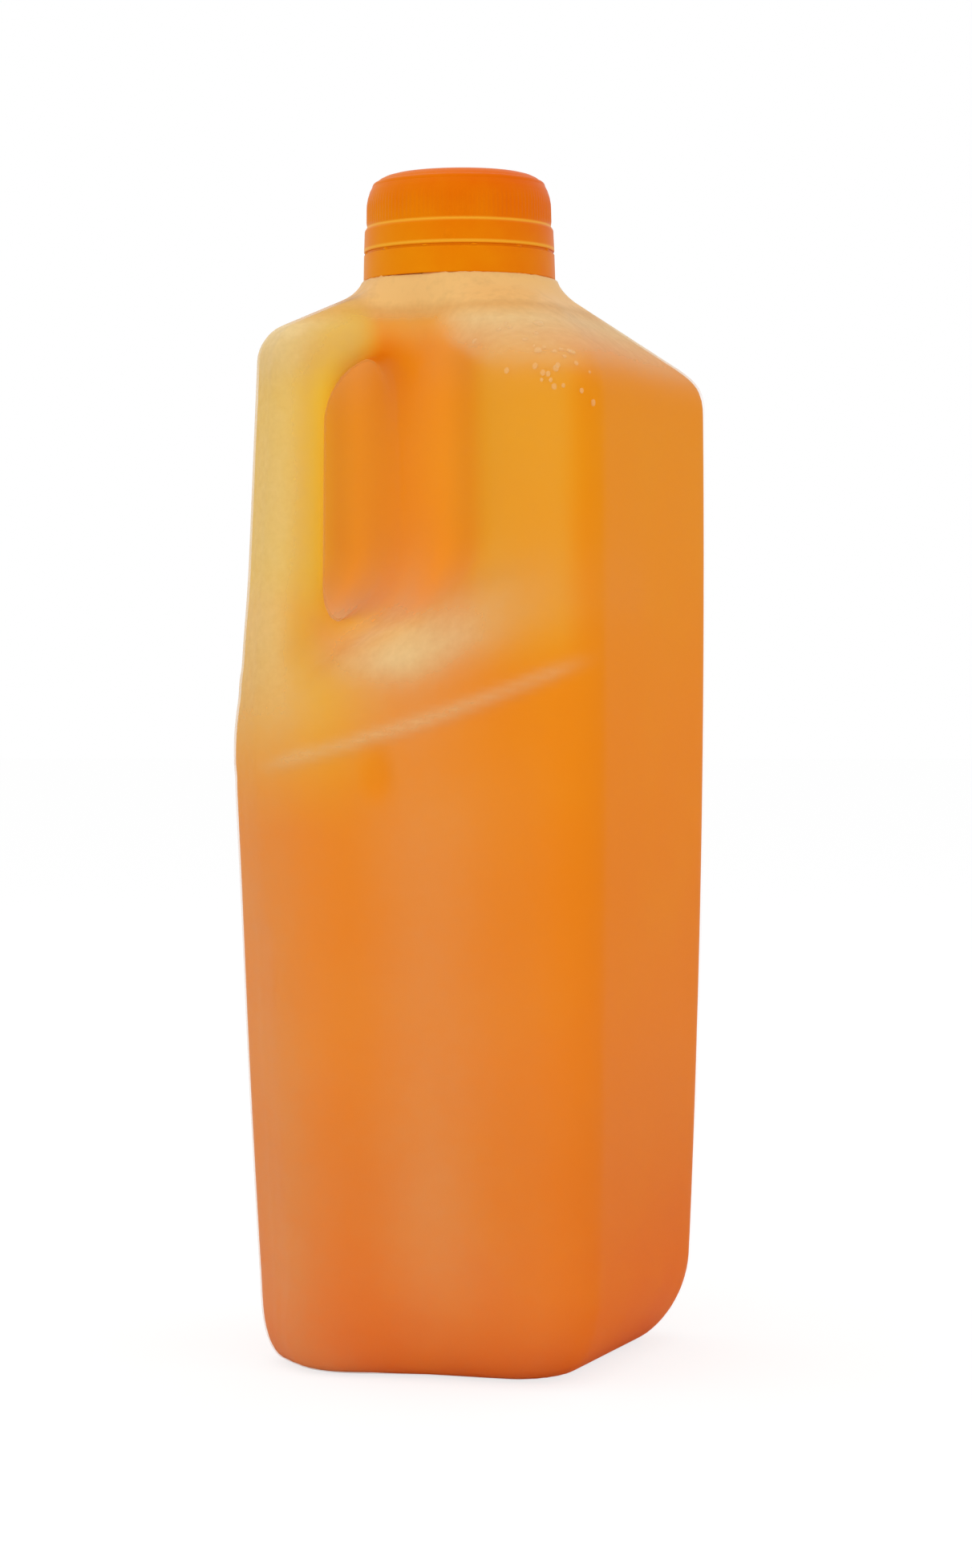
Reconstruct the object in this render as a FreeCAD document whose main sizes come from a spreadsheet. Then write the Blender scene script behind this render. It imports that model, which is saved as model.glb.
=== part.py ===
"""Orangeade jug: a blow-moulded jug of a litre and a half with a hollow corner handle, its drink and its cap.

Millimetres, +Z up.  The origin is the middle of the base on the neck's axis, the front face looks along -Y
and the handle stands at the corner between -X and -Y.  One description of the body form serves three times:
as it stands for the outside, inset by the wall for the hollow, and inset a little more for the drink.
"""

import FreeCAD, Part
import math
import os
import Sketcher

NODE_FOLDER = "parts"

# name, value in mm or a formula of earlier names (counts and angles are plain numbers), what it sets
DIMENSIONS = [
    ("wall", 0.9, "thickness of the moulded wall"),
    ("drinkgap", 0.12, "clearance between the drink and the wall"),
    ("tophalf", 45.7, "half width under the shoulder"),
    ("taper", 4.2, "how much narrower each half is at the floor"),
    ("basehalf", "=tophalf - taper", "half width between the walls, drawn down to the floor"),
    ("shoulderheight", 215.3, "height where the walls and the shoulder's slopes would meet"),
    ("shoulderrun", 24.5745, "how far the shoulder's slopes run inwards"),
    ("shoulderrise", 19.9, "height of the slopes"),
    ("shouldertop", "=shoulderheight + shoulderrise", "height of the slopes' top"),
    ("collarheight", 1.8, "height of the collar's side"),
    ("neckledge", "=shouldertop + collarheight", "height of the collar's top, below the cap"),
    ("corner", 14.0, "radius of the plain corners, the heel and the shoulder"),
    ("chamfer", 20.0, "length cut off each face at the handle's corner"),
    ("web", 15.0, "distance of the web behind the handle from the axis"),
    ("webradius", 10.0, "radius where the web meets a face"),
    ("neckradius", 18.7, "outer radius of the neck"),
    ("neckwall", 1.5, "thickness of the neck"),
    ("neckheight", 16.5, "height of the neck above the collar"),
    ("neckroot", 8.0, "how far the neck runs down into the throat"),
    ("necktop", "=neckledge + neckheight", "height of the neck's rim"),
    ("collarstep", 1.9, "how far the collar stands out from the neck"),
    ("collarradius", "=neckradius + collarstep", "radius of the collar below the cap"),
    ("throatradius", 12.0, "radius at the foot of the cone that carries the collar"),
    ("throatheight", 28.0, "height of that cone"),
    ("handlewidth", 19.0, "width of the handle across the mould's parting plane"),
    ("handledepth", 14.5, "depth of the handle"),
    ("handleround", 4.5, "radius of the handle's long edges"),
    ("handlerise", 5.3, "height of the handle's top corner above the shoulder's edge"),
    ("handletop", "=shoulderheight + handlerise", "height of the handle's top corner"),
    ("handleinset", 5.4874, "how far that corner stands in from the cut corner of the body"),
    ("handlereach", "=(2 * tophalf - chamfer) / sqrt(2) - handleinset", "its distance from the axis"),
    ("handleswell", 7.6, "how much further out the handle's foot stands"),
    ("handlefoot", 135.0, "height where the handle meets the body's corner"),
    ("handletail", 17.0, "how far the handle's foot runs on below that height, inside the body"),
    ("handleroot", 3.0, "how far the handle's bridge runs into the web"),
    ("bridgedrop", 2.98, "how far below the collar's top the handle's bridge meets it"),
    ("bendradius", 7.5, "radius of the handle's upper bends, outside and in its gap"),
    ("footradius", 12.0, "radius of the handle's lower bends"),
    ("gapdrop", 4.2, "depth of the bridge at the gap's outer upper corner, below the handle's top"),
    ("gapslope", 0.22, "rise of the gap's upper edge to the neck, per millimetre"),
    ("gapfoot", 27.0, "height of the gap's outer lower corner above the handle's foot"),
    ("gapfloor", 18.0, "height of the gap's inner lower corner above the handle's foot, inside the body"),
    ("gapinset", 6.0, "distance of that corner from the web"),
    ("shelfrun", 5.0, "how far outside the handle's top corner the hand recess starts"),
    ("shelfreach", "=handlereach + shelfrun", "distance from the axis at which the hand recess starts"),
    ("shelflow", 147.0, "height where the hand recess starts"),
    ("shelfhigh", 166.0, "height where the recess meets the web"),
    ("creasedrop", 4.5, "how far the crease starts below the handle's foot"),
    ("creasefrom", "=handlefoot - creasedrop", "height of the crease at the handle's corner"),
    ("creaseclimb", 21.0, "how far the crease climbs across its face"),
    ("creasenear", 5.7, "how far the crease starts from the cut corner"),
    ("creasefar", 13.7, "how far it ends from the far corner"),
    ("creasetaper", 8.0, "length over which its ends taper"),
    ("creaseradius", 2.2, "radius of the bead that makes the crease"),
    ("creaserise", 0.7, "how far the crease stands out"),
    ("dimpledrop", 1.2, "how far the dimple's middle lies below the crease's start"),
    ("dimpleheight", "=creasefrom - dimpledrop", "height of the dimple"),
    ("dimpleoffset", -2.3, "place of the dimple across the front face"),
    ("dimplewidth", 7.6, "width of the dimple"),
    ("dimplelength", 12.5, "height of the dimple's outline"),
    ("dimpledepth", 0.8, "depth of the dimple"),
    ("pushupradius", 24.0, "radius of the hollow under the base"),
    ("pushuprise", 3.2, "height of the hollow under the base"),
    ("headspace", 3.2, "height left free above the drink, below the slopes' top"),
    ("drinklevel", "=shouldertop - headspace", "height of the drink's surface"),
    ("capclearance", 0.3, "gap between the cap and the neck's side"),
    ("capseat", 0.1, "gap between the cap and the neck's rim"),
    ("caproof", 1.6, "thickness of the cap's top"),
    ("capdome", 4.8, "room between the neck's rim and the cap's top"),
    ("capdomerun", 3.5, "how far the slope round that room runs inwards"),
    ("capdomelip", 2.5, "how far the seat runs inwards over the neck's rim"),
    ("capwall", 2.1, "thickness of the cap's side at its lower edge"),
    ("captaper", 0.3, "how much slimmer the cap is at the line below the knurls"),
    ("capstep", 1.0, "how much slimmer it is between the knurls"),
    ("capgap", 0.4, "gap between the cap's lower edge and the collar"),
    ("capradius", "=neckradius + capclearance + capwall", "outer radius of the cap at its lower edge"),
    ("capbandradius", "=capradius - captaper", "outer radius of the cap at the line below the knurls"),
    ("captopradius", "=capradius - capstep", "outer radius of the cap between the knurls"),
    ("capbottom", "=neckledge + capgap", "height of the tamper band's lower edge"),
    ("capheight", "=necktop + capseat + capdome + caproof", "height of the cap's top"),
    ("capround", 8.0, "radius of the cap's top edge"),
    ("ringrise", 11.0, "height of the line below the knurls above the cap's lower edge"),
    ("ringheight", "=capbottom + ringrise", "height of that line"),
    ("ringstep", 0.5, "height of the step at that line"),
    ("slotrise", 5.6, "height of the tear slot's upper edge above the cap's lower edge"),
    ("slotheight", "=capbottom + slotrise", "height of that edge"),
    ("slotgap", 0.8, "height of the tear slot"),
    ("bridgecount", 12, "number of bridges across the tear slot"),
    ("bridgeangle", 3.0, "width of a bridge in degrees"),
    ("knurlcount", 60, "number of knurls"),
    ("knurldepth", 0.3, "how far a knurl stands out"),
    ("knurlwidth", 1.2, "width of a knurl at its root"),
    ("knurllength", 2.4, "height of a knurl"),
]


def make_sheet(doc):
    """Write every driving dimension into a spreadsheet and return the values by name."""
    sheet = doc.addObject("Spreadsheet::Sheet", "Dimensions")
    for row, (name, value, note) in enumerate(DIMENSIONS, start=1):
        sheet.set("A%d" % row, name)
        sheet.setAlias("B%d" % row, name)
        sheet.set("B%d" % row, str(value))
        sheet.set("C%d" % row, note)
    doc.recompute()
    return {name: float(getattr(sheet, name)) for name, _value, _note in DIMENSIONS}


def bind(feature, **expressions):
    """Bind a feature's properties to cells of the sheet; names stand for cells."""
    for name, expression in expressions.items():
        feature.setExpression(name.replace("_", "."), expression)


def cell(name):
    """The sheet's cell of that name, as an expression."""
    return "Dimensions." + name


def add_shape(doc, name, shape):
    """Put a computed shape into the document as a feature."""
    feature = doc.addObject("Part::Feature", name)
    feature.Shape = shape
    return feature


# ---------------------------------------------------------------- the body's form

class BodyForm:
    """The body without its handle: flat drawn walls with equal rounding, a hand recess and a sloping shoulder.

    An inset makes the same form smaller by one distance all round, for the hollow and for the drink.
    """

    def __init__(self, size, inset=0.0):
        self.size = size
        self.inset = inset
        self.draft = (size["tophalf"] - size["basehalf"]) / size["shoulderheight"]
        self.slope = math.atan2(size["shoulderrise"], size["shoulderrun"])

    def wall_half(self, height):
        """Half width between the walls, which lean out evenly from the base to the shoulder."""
        lean = self.inset * math.hypot(1.0, self.draft)
        return self.size["basehalf"] + self.draft * height - lean

    def shoulder_edge(self):
        """Height at which the walls meet the shoulder's slopes."""
        retreat = self.inset * (1 / math.sin(self.slope) - math.hypot(1.0, self.draft))
        return self.size["shoulderheight"] - retreat / (self.draft + 1 / math.tan(self.slope))

    def chamfer_distance(self, height):
        """Distance from the axis of the cut below the handle, of even width along the corner."""
        whole = self.wall_half(height) + self.inset * math.hypot(1.0, self.draft)
        return (2 * whole - self.size["chamfer"]) / math.sqrt(2) - self.inset

    def block(self, levels):
        """A solid of flat faces through square sections with one cut corner, given per level as
        height, half width and distance of the cut."""
        rings = []
        for height, half, distance in levels:
            near = half - math.sqrt(2) * distance
            outline = [(near, -half), (half, -half), (half, half), (-half, half), (-half, near)]
            rings.append([FreeCAD.Vector(x, y, height) for x, y in outline])
        faces = [polygon(list(reversed(rings[0]))), polygon(rings[-1])]
        for low, high in zip(rings, rings[1:]):
            for index, point in enumerate(low):
                following = (index + 1) % len(low)
                faces.append(polygon([point, low[following], high[following], high[index]]))
        return Part.makeSolid(Part.makeShell(faces)).removeSplitter()

    def lower(self):
        """The block below the hand recess, with every edge rounded but those that the recess takes away."""
        top = self.size["shelfhigh"] + self.size["corner"]
        levels = [(height, self.wall_half(height), self.chamfer_distance(height)) for height in (self.inset, top)]
        block = self.block(levels)
        edges = [edge for edge in block.Edges if edge.BoundBox.ZMin < top - 1.0]
        block = block.makeFillet(self.size["corner"] - self.inset, edges)
        return block.cut(self.above_shelf())

    def above_shelf(self):
        """All that lies above the hand recess's shelf, which slants down from the web to the handle."""
        s = self.size
        rise = (s["shelfhigh"] - s["shelflow"]) / (s["shelfreach"] - s["web"])
        sunk = self.inset * math.hypot(1.0, rise)
        far = 2 * s["tophalf"]
        shelf = [s["shelfhigh"] + rise * (s["web"] - distance) - sunk for distance in (far, -far)]
        outline = [diagonal(far, shelf[0], -far), diagonal(-far, shelf[1], -far)]
        outline += [diagonal(-far, s["capheight"], -far), diagonal(far, s["capheight"], -far)]
        return polygon(outline).extrude(diagonal(0.0, 0.0, 2 * far))

    def upper(self):
        """The block beside and above the hand recess, with the shoulder's slopes."""
        s = self.size
        edge = self.shoulder_edge()
        top = s["shouldertop"] - self.inset
        web = s["web"] - self.inset
        low = s["creasefrom"]
        top_half = self.wall_half(edge) - (top - edge) / math.tan(self.slope)
        levels = [(low, self.wall_half(low), web), (edge, self.wall_half(edge), web), (top, top_half, web)]
        block = self.block(levels)
        plain = [e for e in block.Edges if not in_web(e, web) and low + 1 < e.CenterOfMass.z < top - 1]
        block = block.makeFillet(s["corner"] - self.inset, plain)
        cut = [e for e in block.Edges if in_web(e, web) and low + 1 < e.CenterOfMass.z < top - 1]
        return block.makeFillet(s["webradius"] - self.inset, cut)

    def throat(self):
        """The round top of the shoulder: a cone that swells to the collar under the cap."""
        s = self.size
        collar = s["collarradius"] - self.inset
        foot = s["shouldertop"] - s["throatheight"]
        cone = Part.makeCone(
            s["throatradius"] - self.inset, collar, s["throatheight"] - self.inset, FreeCAD.Vector(0, 0, foot)
        )
        height = s["neckledge"] - s["shouldertop"]
        return cone.fuse(Part.makeCylinder(collar, height, FreeCAD.Vector(0, 0, s["shouldertop"] - self.inset)))

    def solid(self):
        """The whole body of one piece."""
        return self.lower().fuse([self.upper(), self.throat()]).removeSplitter()


def polygon(points):
    """A flat face through points."""
    return Part.Face(Part.makePolygon(points + points[:1]))


def in_web(edge, web):
    """Whether an edge lies in the flat web behind the handle."""
    return all(abs(-(v.X + v.Y) / math.sqrt(2) - web) < 1e-3 for v in edge.Vertexes)


def round_corners(points, radii):
    """For each corner of a closed outline: where its arc starts, the corner itself, and where its arc ends."""
    found = []
    count = len(points)
    for index, (point, radius) in enumerate(zip(points, radii)):
        before = (points[index - 1] - point).normalize()
        after = (points[(index + 1) % count] - point).normalize()
        reach = radius / math.tan(before.getAngle(after) / 2)
        found.append((point + before * reach, point, point + after * reach))
    return found


def corner_wire(corners):
    """A closed wire of arcs and lines through rounded corners."""
    edges = []
    for index, (start, peak, end) in enumerate(corners):
        if (end - start).Length > 1e-9:
            half_angle = (start - peak).getAngle(end - peak) / 2
            radius = (start - peak).Length * math.tan(half_angle)
            inward = ((start - peak) + (end - peak)).normalize()
            middle = peak + inward * (radius / math.sin(half_angle) - radius)
            edges.append(Part.Arc(start, middle, end).toShape())
        edges.append(Part.LineSegment(end, corners[(index + 1) % len(corners)][0]).toShape())
    return Part.Wire(edges)


# ---------------------------------------------------------------- the handle

def diagonal(distance, height, across=0.0):
    """A point of the parting plane: distance from the axis towards the handle, height, and offset across."""
    share = 1 / math.sqrt(2)
    return FreeCAD.Vector(share * (across - distance), share * (-across - distance), height)


def handle_solid(size, inset=0.0):
    """The handle as a C in the parting plane, given its width and rounded all along its edges."""
    s = size
    reach, top, foot = s["handlereach"], s["handletop"], s["handlefoot"]
    depth, swell = s["handledepth"], s["handleswell"]
    slope = (s["neckledge"] - s["bridgedrop"] - top) / (reach - s["collarradius"])
    root = s["web"] - s["handleroot"]
    bottom = foot - s["handletail"]
    inner = s["web"] + s["gapinset"]
    under = top - s["gapdrop"]
    outline = [
        (root, top + (reach - root) * slope, 0.0),
        (reach, top, s["bendradius"]),
        (reach + swell, foot, s["footradius"]),
        (reach, bottom, 0.0),
        (inner - 1.0, bottom, 0.0),
        (inner, foot + s["gapfloor"], s["bendradius"]),
        (reach + 0.6 * swell - depth, foot + s["gapfoot"], s["footradius"]),
        (reach + 0.1 * swell - depth, under, s["bendradius"]),
        (root, under + s["gapslope"] * (reach - root - depth), 0.0),
    ]
    points = [diagonal(distance, height) for distance, height, _radius in outline]
    face = Part.Face(corner_wire(round_corners(points, [radius for _distance, _height, radius in outline])))
    if inset:
        face = face.makeOffset2D(-inset)
    half = s["handlewidth"] / 2 - inset
    face.translate(diagonal(0.0, 0.0, -half))
    solid = face.extrude(diagonal(0.0, 0.0, 2 * half))
    ends = (root + inset, bottom + inset)
    edges = [edge for edge in solid.Edges if runs_along(edge, half) and not is_end(edge, *ends)]
    return solid.makeFillet(s["handleround"] - inset, edges)


def runs_along(edge, half):
    """Whether an edge lies in one of the handle's two flat sides."""
    offsets = [(v.X - v.Y) / math.sqrt(2) for v in edge.Vertexes]
    return abs(offsets[0] - offsets[-1]) < 1e-6 and abs(abs(offsets[0]) - half) < 1e-6


def is_end(edge, root, bottom):
    """Whether an edge bounds one of the handle's two ends inside the body."""
    distances = [-(v.X + v.Y) / math.sqrt(2) for v in edge.Vertexes]
    heights = [v.Z for v in edge.Vertexes]
    return max(abs(d - root) for d in distances) < 1e-3 or max(abs(z - bottom) for z in heights) < 1e-3


# ---------------------------------------------------------------- details of the body

def crease_bead(size, mirrored=False):
    """The bead of one crease: a slim rod with tapered ends, sunk into the face it runs along."""
    s = size
    form = BodyForm(size)
    taper = s["creasetaper"]
    sunk = s["creaseradius"] - s["creaserise"]
    ends = []
    start, end = s["chamfer"] + s["creasenear"] - s["tophalf"], s["tophalf"] - s["creasefar"]
    for along, height in ((start, s["creasefrom"]), (end, s["creasefrom"] + s["creaseclimb"])):
        face = sunk - form.wall_half(height)
        x, y = (face, along) if mirrored else (along, face)
        ends.append(FreeCAD.Vector(x, y, height))
    length = (ends[1] - ends[0]).Length
    radius = s["creaseradius"]
    thin = sunk * 0.6
    outline = [(0, 0), (thin, 0), (radius, taper), (radius, length - taper), (thin, length), (0, length)]
    wire = Part.makePolygon([FreeCAD.Vector(r, 0, z) for r, z in outline + outline[:1]])
    rod = Part.Face(wire).revolve(FreeCAD.Vector(0, 0, 0), FreeCAD.Vector(0, 0, 1), 360)
    rod = rod if rod.ShapeType == "Solid" else Part.Solid(rod)
    turn = FreeCAD.Rotation(FreeCAD.Vector(0, 0, 1), ends[1] - ends[0])
    rod.Placement = FreeCAD.Placement(ends[0], turn)
    return rod


def add_dimple(doc, size, name, grow):
    """The dimple's cutter: an ellipsoid that dips into the front face; grow names the cells added to it."""
    below = 3 * size["dimpledepth"]
    share = math.sqrt(1 - (1 - size["dimpledepth"] / below) ** 2)
    face = BodyForm(size).wall_half(size["dimpleheight"])
    cutter = doc.addObject("Part::Ellipsoid", name)
    bind(
        cutter,
        Radius1="%s / 2 / %r + %s" % (cell("dimplelength"), share, grow),
        Radius2="%s / 2 / %r + %s" % (cell("dimplewidth"), share, grow),
        Radius3="%s * 3 + %s" % (cell("dimpledepth"), grow),
        Placement_Base_x=cell("dimpleoffset"),
        Placement_Base_z=cell("dimpleheight"),
        Placement_Base_y="%s - %s * 2" % (-face, cell("dimpledepth")),
    )
    return cutter


def add_pushup(doc, name, grow):
    """The cutter of the hollow under the base: a large sphere below the floor."""
    cutter = doc.addObject("Part::Sphere", name)
    rise, radius = cell("pushuprise"), cell("pushupradius")
    ball = "(%s * %s + %s * %s) / (2 * %s)" % (radius, radius, rise, rise, rise)
    bind(cutter, Radius="%s + %s" % (ball, grow), Placement_Base_z="%s - %s" % (rise, ball))
    return cutter


def add_neck(doc, name, radius, bottom, top):
    """A cylinder about the axis between two heights."""
    neck = doc.addObject("Part::Cylinder", name)
    bind(neck, Radius=radius, Height="%s - (%s)" % (top, bottom), Placement_Base_z=bottom)
    return neck


def fuse(doc, name, pieces):
    """Join pieces into one feature."""
    feature = doc.addObject("Part::MultiFuse", name)
    feature.Shapes = pieces
    return feature


def cut(doc, name, base, tool):
    """Take one feature out of another."""
    feature = doc.addObject("Part::Cut", name)
    feature.Base = base
    feature.Tool = tool
    return feature


def add_form(doc, size, suffix, inset, grow, extras):
    """The whole body form at one inset: body and handle joined with extras, less dimple and base hollow."""
    core = add_shape(doc, "Core" + suffix, BodyForm(size, inset).solid())
    handle = add_shape(doc, "Handle" + suffix, handle_solid(size, inset).Solids[0])
    joined = fuse(doc, "Joined" + suffix, [core, handle] + extras)
    dimple = add_dimple(doc, size, "Dimple" + suffix, grow)
    pushup = add_pushup(doc, "Pushup" + suffix, grow)
    dented = cut(doc, "Dented" + suffix, joined, dimple)
    return cut(doc, "Form" + suffix, dented, pushup)


def make_jug(doc, size):
    """The jug: the outside form less the inside form, with an open neck."""
    below = "%s - %s" % (cell("neckledge"), cell("neckroot"))
    neck = add_neck(doc, "Neck", cell("neckradius"), below, cell("necktop"))
    beads = [
        add_shape(doc, "CreaseFront", crease_bead(size)),
        add_shape(doc, "CreaseLeft", crease_bead(size, mirrored=True)),
    ]
    outside = add_form(doc, size, "Outside", 0.0, "0", [neck] + beads)
    bore_radius = "%s - %s" % (cell("neckradius"), cell("neckwall"))
    bore = add_neck(doc, "Bore", bore_radius, below, cell("necktop") + " + 1")
    inside = add_form(doc, size, "Inside", size["wall"], cell("wall"), [bore])
    return cut(doc, "jug", outside, inside)


def make_drink(doc, size):
    """The drink: the inside form with a clearance to the wall, filled up to its level, in the handle too."""
    inset = size["wall"] + size["drinkgap"]
    grow = "%s + %s" % (cell("wall"), cell("drinkgap"))
    filling = add_form(doc, size, "Drink", inset, grow, [])
    above = doc.addObject("Part::Box", "AboveDrink")
    bind(
        above,
        Length="4 * " + cell("tophalf"),
        Width="4 * " + cell("tophalf"),
        Height=cell("capheight"),
        Placement_Base_x="-2 * " + cell("tophalf"),
        Placement_Base_y="-2 * " + cell("tophalf"),
        Placement_Base_z=cell("drinklevel"),
    )
    return cut(doc, "orangeade", filling, above)


# ---------------------------------------------------------------- the cap

def origin_plane(body, role):
    """One of a body's own origin planes."""
    return next(plane for plane in body.Origin.OriginFeatures if plane.Role == role)


def add_sketch(body, name, role, corners):
    """A closed sketch of straight lines whose corners are bound to expressions in the sketch's plane."""
    sketch = body.newObject("Sketcher::SketchObject", name)
    sketch.AttachmentSupport = [(origin_plane(body, role), "")]
    sketch.MapMode = "FlatFace"
    count = len(corners)
    for index, (_across, _up, start) in enumerate(corners):
        end = corners[(index + 1) % count][2]
        sketch.addGeometry(Part.LineSegment(FreeCAD.Vector(*start, 0), FreeCAD.Vector(*end, 0)), False)
    for index in range(count):
        sketch.addConstraint(Sketcher.Constraint("Coincident", index, 2, (index + 1) % count, 1))
    for index, (across, up, start) in enumerate(corners):
        for axis, expression, value in (("DistanceX", across, start[0]), ("DistanceY", up, start[1])):
            number = sketch.addConstraint(Sketcher.Constraint(axis, -1, 1, index, 1, value))
            sketch.setExpression("Constraints[%d]" % number, expression)
    return sketch


def corner_list(size, pairs):
    """Corners as their two expressions and the place these work out to, so that a sketch starts solved."""
    found = []
    for across, up in pairs:
        place = tuple(work_out(size, expression) for expression in (across, up))
        found.append((across, up, place))
    return found


def work_out(size, expression):
    """The value of a sum of cells and numbers, such as 'Dimensions.wall - 2'."""
    total, sign = 0.0, 1.0
    for word in expression.replace("Dimensions.", "").split():
        if word in "+-":
            sign = 1.0 if word == "+" else -1.0
        else:
            total += sign * (size[word] if word in size else float(word))
    return total


def make_cap(doc, size):
    """The screw cap: a turned shell, knurled above its ring line and slotted above the tamper band."""
    body = doc.addObject("PartDesign::Body", "cap")
    inner = "%s + %s" % (cell("neckradius"), cell("capclearance"))
    seat = "%s + %s" % (cell("necktop"), cell("capseat"))
    roof = "%s - %s" % (cell("capheight"), cell("caproof"))
    profile = [
        (inner, cell("capbottom")),
        (cell("capradius"), cell("capbottom")),
        (cell("capradius"), cell("slotheight")),
        (cell("capbandradius"), cell("ringheight")),
        (cell("captopradius"), "%s + %s" % (cell("ringheight"), cell("ringstep"))),
        (cell("captopradius"), cell("capheight")),
        ("0", cell("capheight")),
        ("0", roof),
        ("%s - %s - %s" % (cell("neckradius"), cell("capdomelip"), cell("capdomerun")), roof),
        ("%s - %s" % (cell("neckradius"), cell("capdomelip")), seat),
        (inner, seat),
    ]
    sketch = add_sketch(body, "CapProfile", "XZ_Plane", corner_list(size, profile))
    shell = body.newObject("PartDesign::Revolution", "CapShell")
    shell.Profile = sketch
    shell.ReferenceAxis = (sketch, ["V_Axis"])
    shell.Angle = 360
    doc.recompute()
    crown = body.newObject("PartDesign::Fillet", "CapCrown")
    crown.Base = (shell, [top_edge(shell.Shape, size["capheight"])])
    bind(crown, Radius=cell("capround"))
    body.Tip = crown
    doc.recompute()
    add_slot(doc, body, size, inner)
    add_knurls(doc, body, size)
    return body


def top_edge(shape, height):
    """The name of the circular edge at a height that has the largest radius."""
    found = []
    for number, edge in enumerate(shape.Edges, start=1):
        if abs(edge.BoundBox.ZMin - height) < 1e-3 and abs(edge.BoundBox.ZMax - height) < 1e-3:
            found.append((edge.BoundBox.XLength, "Edge%d" % number))
    return max(found)[1]


def add_slot(doc, body, size, inner):
    """The tear slot: a groove through the wall between two bridges, repeated around the cap."""
    low = "%s - %s" % (cell("slotheight"), cell("slotgap"))
    high = cell("slotheight")
    inside, outside = inner + " - 0.5", cell("capradius") + " + 0.5"
    section = [(inside, low), (outside, low), (outside, high), (inside, high)]
    sketch = add_sketch(body, "SlotSection", "XZ_Plane", corner_list(size, section))
    slot = body.newObject("PartDesign::Groove", "Slot")
    slot.Profile = sketch
    slot.ReferenceAxis = (sketch, ["V_Axis"])
    bind(slot, Angle="360 / %s - %s" % (cell("bridgecount"), cell("bridgeangle")))
    repeat_round(doc, body, slot, "Slots", "bridgecount", size)


def add_knurls(doc, body, size):
    """The knurls: one three-sided rib above the ring line, repeated around the cap."""
    half = size["knurlwidth"] / 2
    root = size["captopradius"] - 0.1
    tip = size["captopradius"] + size["knurldepth"]
    sketch = body.newObject("Sketcher::SketchObject", "KnurlSection")
    sketch.AttachmentSupport = [(origin_plane(body, "XY_Plane"), "")]
    sketch.MapMode = "FlatFace"
    bind(sketch, AttachmentOffset_Base_z="%s + 2 * %s" % (cell("ringheight"), cell("ringstep")))
    places = [(root, -half), (tip, 0.0), (root, half)]
    for index, place in enumerate(places):
        following = places[(index + 1) % 3]
        sketch.addGeometry(Part.LineSegment(FreeCAD.Vector(*place, 0), FreeCAD.Vector(*following, 0)), False)
    for index in range(3):
        sketch.addConstraint(Sketcher.Constraint("Coincident", index, 2, (index + 1) % 3, 1))
    sketch.addConstraint(Sketcher.Constraint("Symmetric", 0, 1, 2, 1, -1))
    sketch.addConstraint(Sketcher.Constraint("PointOnObject", 0, 2, -1))
    width = sketch.addConstraint(Sketcher.Constraint("DistanceY", 0, 1, 2, 1, 2 * half))
    sketch.setExpression("Constraints[%d]" % width, cell("knurlwidth"))
    reach = sketch.addConstraint(Sketcher.Constraint("DistanceX", -1, 1, 0, 2, tip))
    sketch.setExpression("Constraints[%d]" % reach, "%s + %s" % (cell("captopradius"), cell("knurldepth")))
    foot = sketch.addConstraint(Sketcher.Constraint("DistanceX", -1, 1, 0, 1, root))
    sketch.setExpression("Constraints[%d]" % foot, cell("captopradius") + " - 0.1")
    knurl = body.newObject("PartDesign::Pad", "Knurl")
    knurl.Profile = sketch
    bind(knurl, Length=cell("knurllength"))
    repeat_round(doc, body, knurl, "Knurls", "knurlcount", size)


def repeat_round(doc, body, feature, name, count, size):
    """Repeat a feature around the body's axis and make the pattern the body's tip."""
    doc.recompute()
    pattern = body.newObject("PartDesign::PolarPattern", name)
    pattern.Originals = [feature]
    axis = next(line for line in body.Origin.OriginFeatures if line.Role == "Z_Axis")
    pattern.Axis = (axis, [""])
    pattern.Angle = 360
    bind(pattern, Occurrences=cell(count))
    body.Tip = pattern
    doc.recompute()


# ---------------------------------------------------------------- build and write

def check(doc):
    """Stop if any feature failed or any shape is empty or invalid."""
    for feature in doc.Objects:
        if {"Invalid", "Error"} & set(feature.State):
            raise RuntimeError("%s did not build: %s" % (feature.Label, feature.State))
        if hasattr(feature, "Shape") and feature.isDerivedFrom("Part::Feature"):
            if feature.Shape.isNull() or not feature.Shape.isValid():
                raise RuntimeError("%s has no valid shape" % feature.Label)


def main():
    """Build the three pieces and write one file for each."""
    os.makedirs(NODE_FOLDER, exist_ok=True)
    doc = FreeCAD.newDocument("OrangeadeJug")
    size = make_sheet(doc)
    pieces = [make_jug(doc, size), make_drink(doc, size), make_cap(doc, size)]
    doc.recompute()
    check(doc)
    for piece in pieces:
        if len(piece.Shape.Solids) != 1:
            raise RuntimeError("%s is %d solids" % (piece.Label, len(piece.Shape.Solids)))
        piece.Shape.exportStep(os.path.join(NODE_FOLDER, piece.Label + ".step"))
        print("%s: %.1f cm3, %d faces" % (piece.Label, piece.Shape.Volume / 1000, len(piece.Shape.Faces)))


main()
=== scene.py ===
"""Orangeade jug: the finished look of a filled, blow-moulded juice jug with a hollow corner handle.

The milky skin and the drink behind it come from one distance function in millimetres, so the drink follows
the skin everywhere and reaches just into its wall.  The screw cap, the threaded neck and the drops of
condensation are surfaces of two parameters.  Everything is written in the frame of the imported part.
"""

import logging
import math
from dataclasses import dataclass, field
from enum import Enum
from typing import Callable, Sequence

import bmesh
import bpy
import numpy as np
from mathutils import Matrix, Vector


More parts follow.
